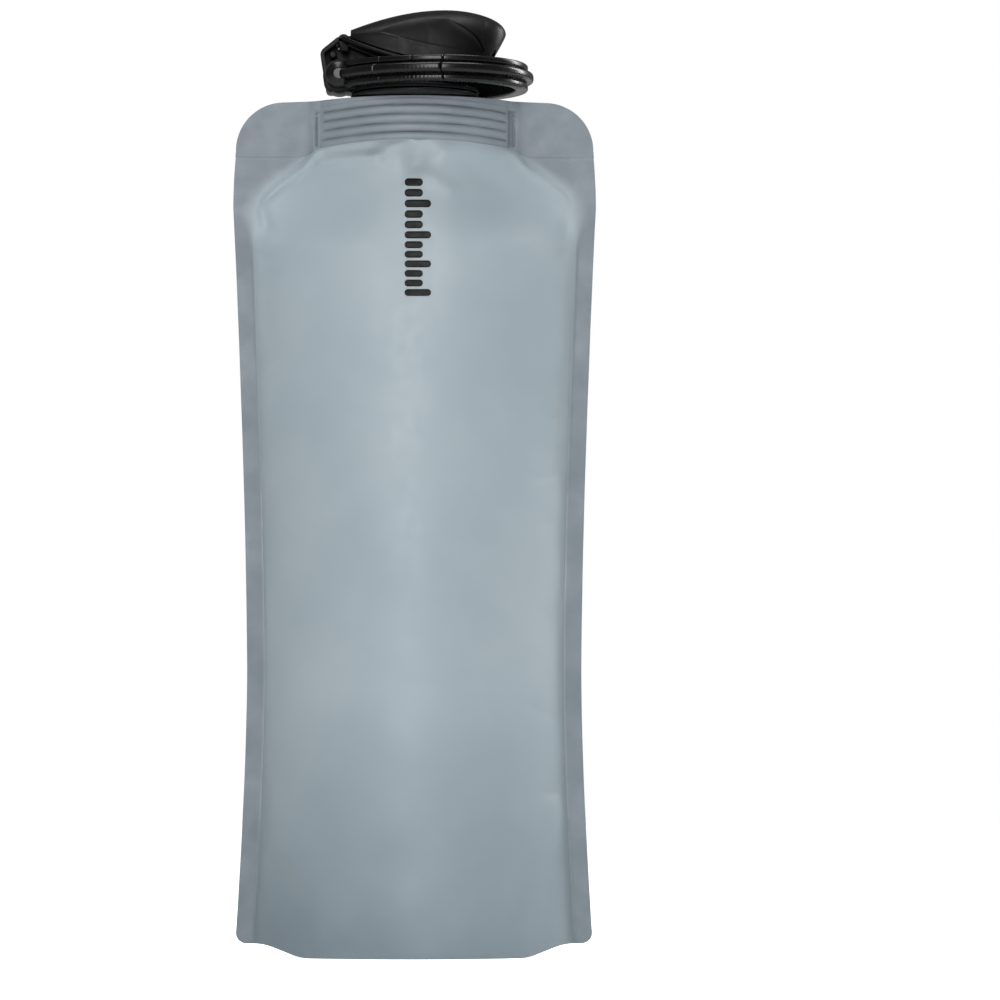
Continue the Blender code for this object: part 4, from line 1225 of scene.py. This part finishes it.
def ring_sweep(name, start, end, bottom, top, steps, material):
    """A stretch of ring between two ends, with softened edges there."""
    section = ring_section(bottom, top)
    middle = ((RING_INNER + RING_RIB) / 2, (bottom + top) / 2)
    length = abs(end(0.0) - start(0.0)) * RING_RADIUS
    edge = 0.0003
    shares = [0.0, 0.25 * edge / length, edge / length]
    shares += [edge / length + (1.0 - 2.0 * edge / length) * i / steps for i in range(1, steps)]
    shares += [1.0 - edge / length, 1.0 - 0.25 * edge / length, 1.0]
    insets = {0: 0.10, 1: 0.035, len(shares) - 2: 0.035, len(shares) - 1: 0.10}
    rings = []
    for i, share in enumerate(shares):
        inset = insets.get(i, 0.0)
        ring = []
        for offset, z in section:
            offset += (middle[0] - offset) * inset
            z += (middle[1] - z) * inset
            angle = start(offset) + (end(offset) - start(offset)) * share
            x, y = ring_point(angle, offset)
            if offset > RING_INNER + 0.001:
                x, y = ring_point(angle, offset + grip_relief(x, y, offset, z))
            ring.append((x, y, z))
        rings.append(ring)
    return loft(name, rings, material, 60.0)


def make_knuckle(side, material):
    """The rounded boss where the ring turns onto its bar."""
    inner = side * KNUCKLE_INNER
    outer = side * KNUCKLE_OUTER
    dome = side * (KNUCKLE_OUTER - 0.0014)
    profile = rounded([(KNUCKLE_RADIUS, inner), (KNUCKLE_RADIUS, dome), (0.0018, outer),
                       (PINHOLE, outer), (PINHOLE, inner)], [0.0006, 0.0012, 0.0015, 0.0, 0.0], 9)
    return turned_across("knuckle", profile, BAR_X, BAR_Z, material)


def ring_block(name, start, end, outer, inner, bottom, top, material=None):
    """A straight block that follows the ring's centre line between two angles."""
    outline = [ring_point(start, outer), ring_point(end, outer), ring_point(end, inner),
               ring_point(start, inner)]
    return plan_solid(name, outline, bottom, top, material)


def cut_gate_room(piece):
    """Room for the gate's knuckle and spring, open towards the gate and the inside of the ring."""
    pin_x, pin_y = gate_pin_place()
    slot_bottom = GATE_KNUCKLE_BOTTOM - CLEARANCE
    cut(piece, plan_solid("slot", circle(GATE_SLOT_RADIUS, pin_x, pin_y), slot_bottom, GATE_SLOT_TOP))
    start = near_side_angle(GATE_PIN_X)
    end = near_side_angle(GATE_PIN_X + 0.0075)
    room = ring_block("arm_room", start, end, 0.0, -0.006, slot_bottom, GATE_KNUCKLE_TOP + CLEARANCE)
    cut(piece, room)


def gate_reaches():
    """How far the gate's nose and its tail stand from its pin."""
    pin_x, pin_y = gate_pin_place()
    nose_x, nose_y = ring_point(near_side_angle(GATE_NOSE_X), 0.0)
    return math.hypot(nose_x - pin_x, nose_y - pin_y), GATE_TAIL_REACH


def build_carabiner_frame(glossy):
    """The closed ring but for its gate, with its bar and knuckles through the web's eyelet."""
    bar_reach = KNUCKLE_OUTER - 0.0012
    bar = turned_across("bar", disc_outline(BAR_RADIUS, -bar_reach, bar_reach, 0.0003), BAR_X, BAR_Z,
                        glossy)
    back_angle = math.pi - math.asin((KNUCKLE_INNER + 0.0012) / RING_RADIUS)
    nose_reach, tail_reach = gate_reaches()
    bow = ring_sweep("bow", pin_round_end(nose_reach + GATE_END_GAP, 0.0, 2 * GATE_NOSE_X),
                     upright_end(back_angle), RING_BOTTOM, RING_TOP, 300, glossy)
    pin_end = ring_sweep("pin_end", upright_end(-back_angle),
                         pin_round_end(tail_reach, GATE_PIN_X + 0.002, 0.0), RING_BOTTOM, RING_TOP, 90,
                         glossy)
    cut_gate_room(pin_end)
    knuckles = [make_knuckle(side, glossy) for side in (-1, 1)]
    carabiner = join("carabiner_moulding", [bow, bar, pin_end] + knuckles)
    dress(carabiner, "carabiner", "carabiner", "carabiner_frame")


def build_gate(glossy):
    """The blade between the ring's two ends, and the arm and knuckle that hold it on its pin."""
    inset = 0.0001
    nose_reach, tail_reach = gate_reaches()
    blade = ring_sweep("blade", pin_round_end(tail_reach + GATE_END_GAP, GATE_PIN_X + 0.002, 0.0),
                       pin_round_end(nose_reach - GATE_END_GAP, 0.0, 2 * GATE_NOSE_X),
                       RING_BOTTOM + inset, RING_TOP - inset, 220, glossy)
    arm_outer = GATE_PIN_OFFSET + GATE_KNUCKLE_RADIUS / 2
    arm_inner = GATE_PIN_OFFSET - GATE_KNUCKLE_RADIUS / 2
    arm = ring_block("arm", near_side_angle(GATE_PIN_X + 0.0001), near_side_angle(GATE_PIN_X + 0.0080),
                     arm_outer, arm_inner, GATE_KNUCKLE_BOTTOM + inset, GATE_KNUCKLE_TOP - inset, glossy)
    bore = 0.0012
    knuckle = turned("gate_knuckle", rounded([
        (bore, GATE_KNUCKLE_BOTTOM), (GATE_KNUCKLE_RADIUS, GATE_KNUCKLE_BOTTOM),
        (GATE_KNUCKLE_RADIUS, GATE_KNUCKLE_TOP), (bore, GATE_KNUCKLE_TOP)], 0.0002),
        gate_pin_place(), glossy, 64)
    gate = join("gate_moulding", [blade, arm, knuckle])
    dress(gate, "gate", "carabiner", "carabiner_gate")


# Studio

def area_light(name, place, target, width, height, power, tint=(1.0, 1.0, 1.0)):
    data = bpy.data.lights.new(name, "AREA")
    data.shape = "RECTANGLE"
    data.size = width
    data.size_y = height
    data.energy = power
    data.color = tint
    light = bpy.data.objects.new(name, data)
    light.location = place
    light.rotation_euler = (Vector(target) - Vector(place)).to_track_quat("-Z", "Y").to_euler()
    bpy.context.scene.collection.objects.link(light)


def floor_material():
    paper = Nodes("white paper")
    colour = paper.drift(6.0, (0.93, 0.93, 0.93), (0.95, 0.95, 0.95))
    paper.link(colour, paper.shader.inputs["Base Color"])
    paper.shader.inputs["Roughness"].default_value = 0.9
    paper.shader.inputs["Specular IOR Level"].default_value = 0.1
    paper.shader.inputs["Emission Color"].default_value = (1.0, 1.0, 1.0, 1.0)
    path = paper.tree.nodes.new("ShaderNodeLightPath")
    glow = paper.ramp(path.outputs["Is Camera Ray"], 0.12, 1.00, 0.0, 1.0)
    paper.link(glow, paper.shader.inputs["Emission Strength"])
    return paper.material


def build_studio():
    rim = [(x, y, 0.0) for x, y in circle(9.0, 0.0, 0.0)]
    floor = new_piece("floor", rim, [tuple(range(len(rim)))], floor_material())

    world = bpy.data.worlds.new("studio")
    bpy.context.scene.world = world
    world.use_nodes = True
    tree = world.node_tree
    background = tree.nodes["Background"]
    path = tree.nodes.new("ShaderNodeLightPath")
    strength = tree.nodes.new("ShaderNodeMapRange")
    strength.inputs["To Min"].default_value = 0.16
    strength.inputs["To Max"].default_value = 1.0
    tree.links.new(path.outputs["Is Camera Ray"], strength.inputs["Value"])
    tree.links.new(strength.outputs["Result"], background.inputs["Strength"])
    background.inputs["Color"].default_value = (1.0, 1.0, 1.0, 1.0)

    target = (0.0, 0.0, 0.15)
    area_light("front", (-0.15, -1.7, 0.75), target, 0.7, 0.9, 19.0)
    area_light("top", (0.05, -0.1, 1.3), target, 0.9, 0.5, 9.0)
    area_light("rim", (1.2, 0.65, 0.80), (0.0, 0.0, 0.29), 0.35, 0.8, 13.0)

    camera_data = bpy.data.cameras.new("camera")
    camera_data.sensor_width = 36.0
    camera_data.lens = 197.0
    camera = bpy.data.objects.new("camera", camera_data)
    camera.location = (0.0, -1.75, 0.05)
    aim = Vector((0.0274, 0.0, 0.1458))
    camera.rotation_euler = (aim - camera.location).to_track_quat("-Z", "Y").to_euler()
    bpy.context.scene.collection.objects.link(camera)
    bpy.context.scene.camera = camera
    bpy.context.scene.view_settings.view_transform = "Standard"


build_pouch()
build_spout()
satin_black = moulded_material("satin black polypropylene", (0.0030, 0.0030, 0.0033),
                               (0.0055, 0.0053, 0.0053), 0.42, 1500.0, 0.22, 0.13)
black_rubber = moulded_material("black silicone", (0.012, 0.012, 0.012), (0.020, 0.020, 0.021), 0.58,
                                2400.0, 0.12, 0.35)
gloss_black = moulded_material("glossy black nylon", (0.0028, 0.0028, 0.0031), (0.0050, 0.0050, 0.0052),
                               0.26, 1200.0, 0.02, 0.26, 0.05)
build_cap(satin_black, black_rubber)
build_lid(satin_black, black_rubber)
build_carabiner_frame(gloss_black)
build_gate(gloss_black)
steel = steel_material()
for metal in ("gate_pin", "gate_spring", "lid_hinge_pin"):
    give_material(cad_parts[metal], steel)
build_studio()
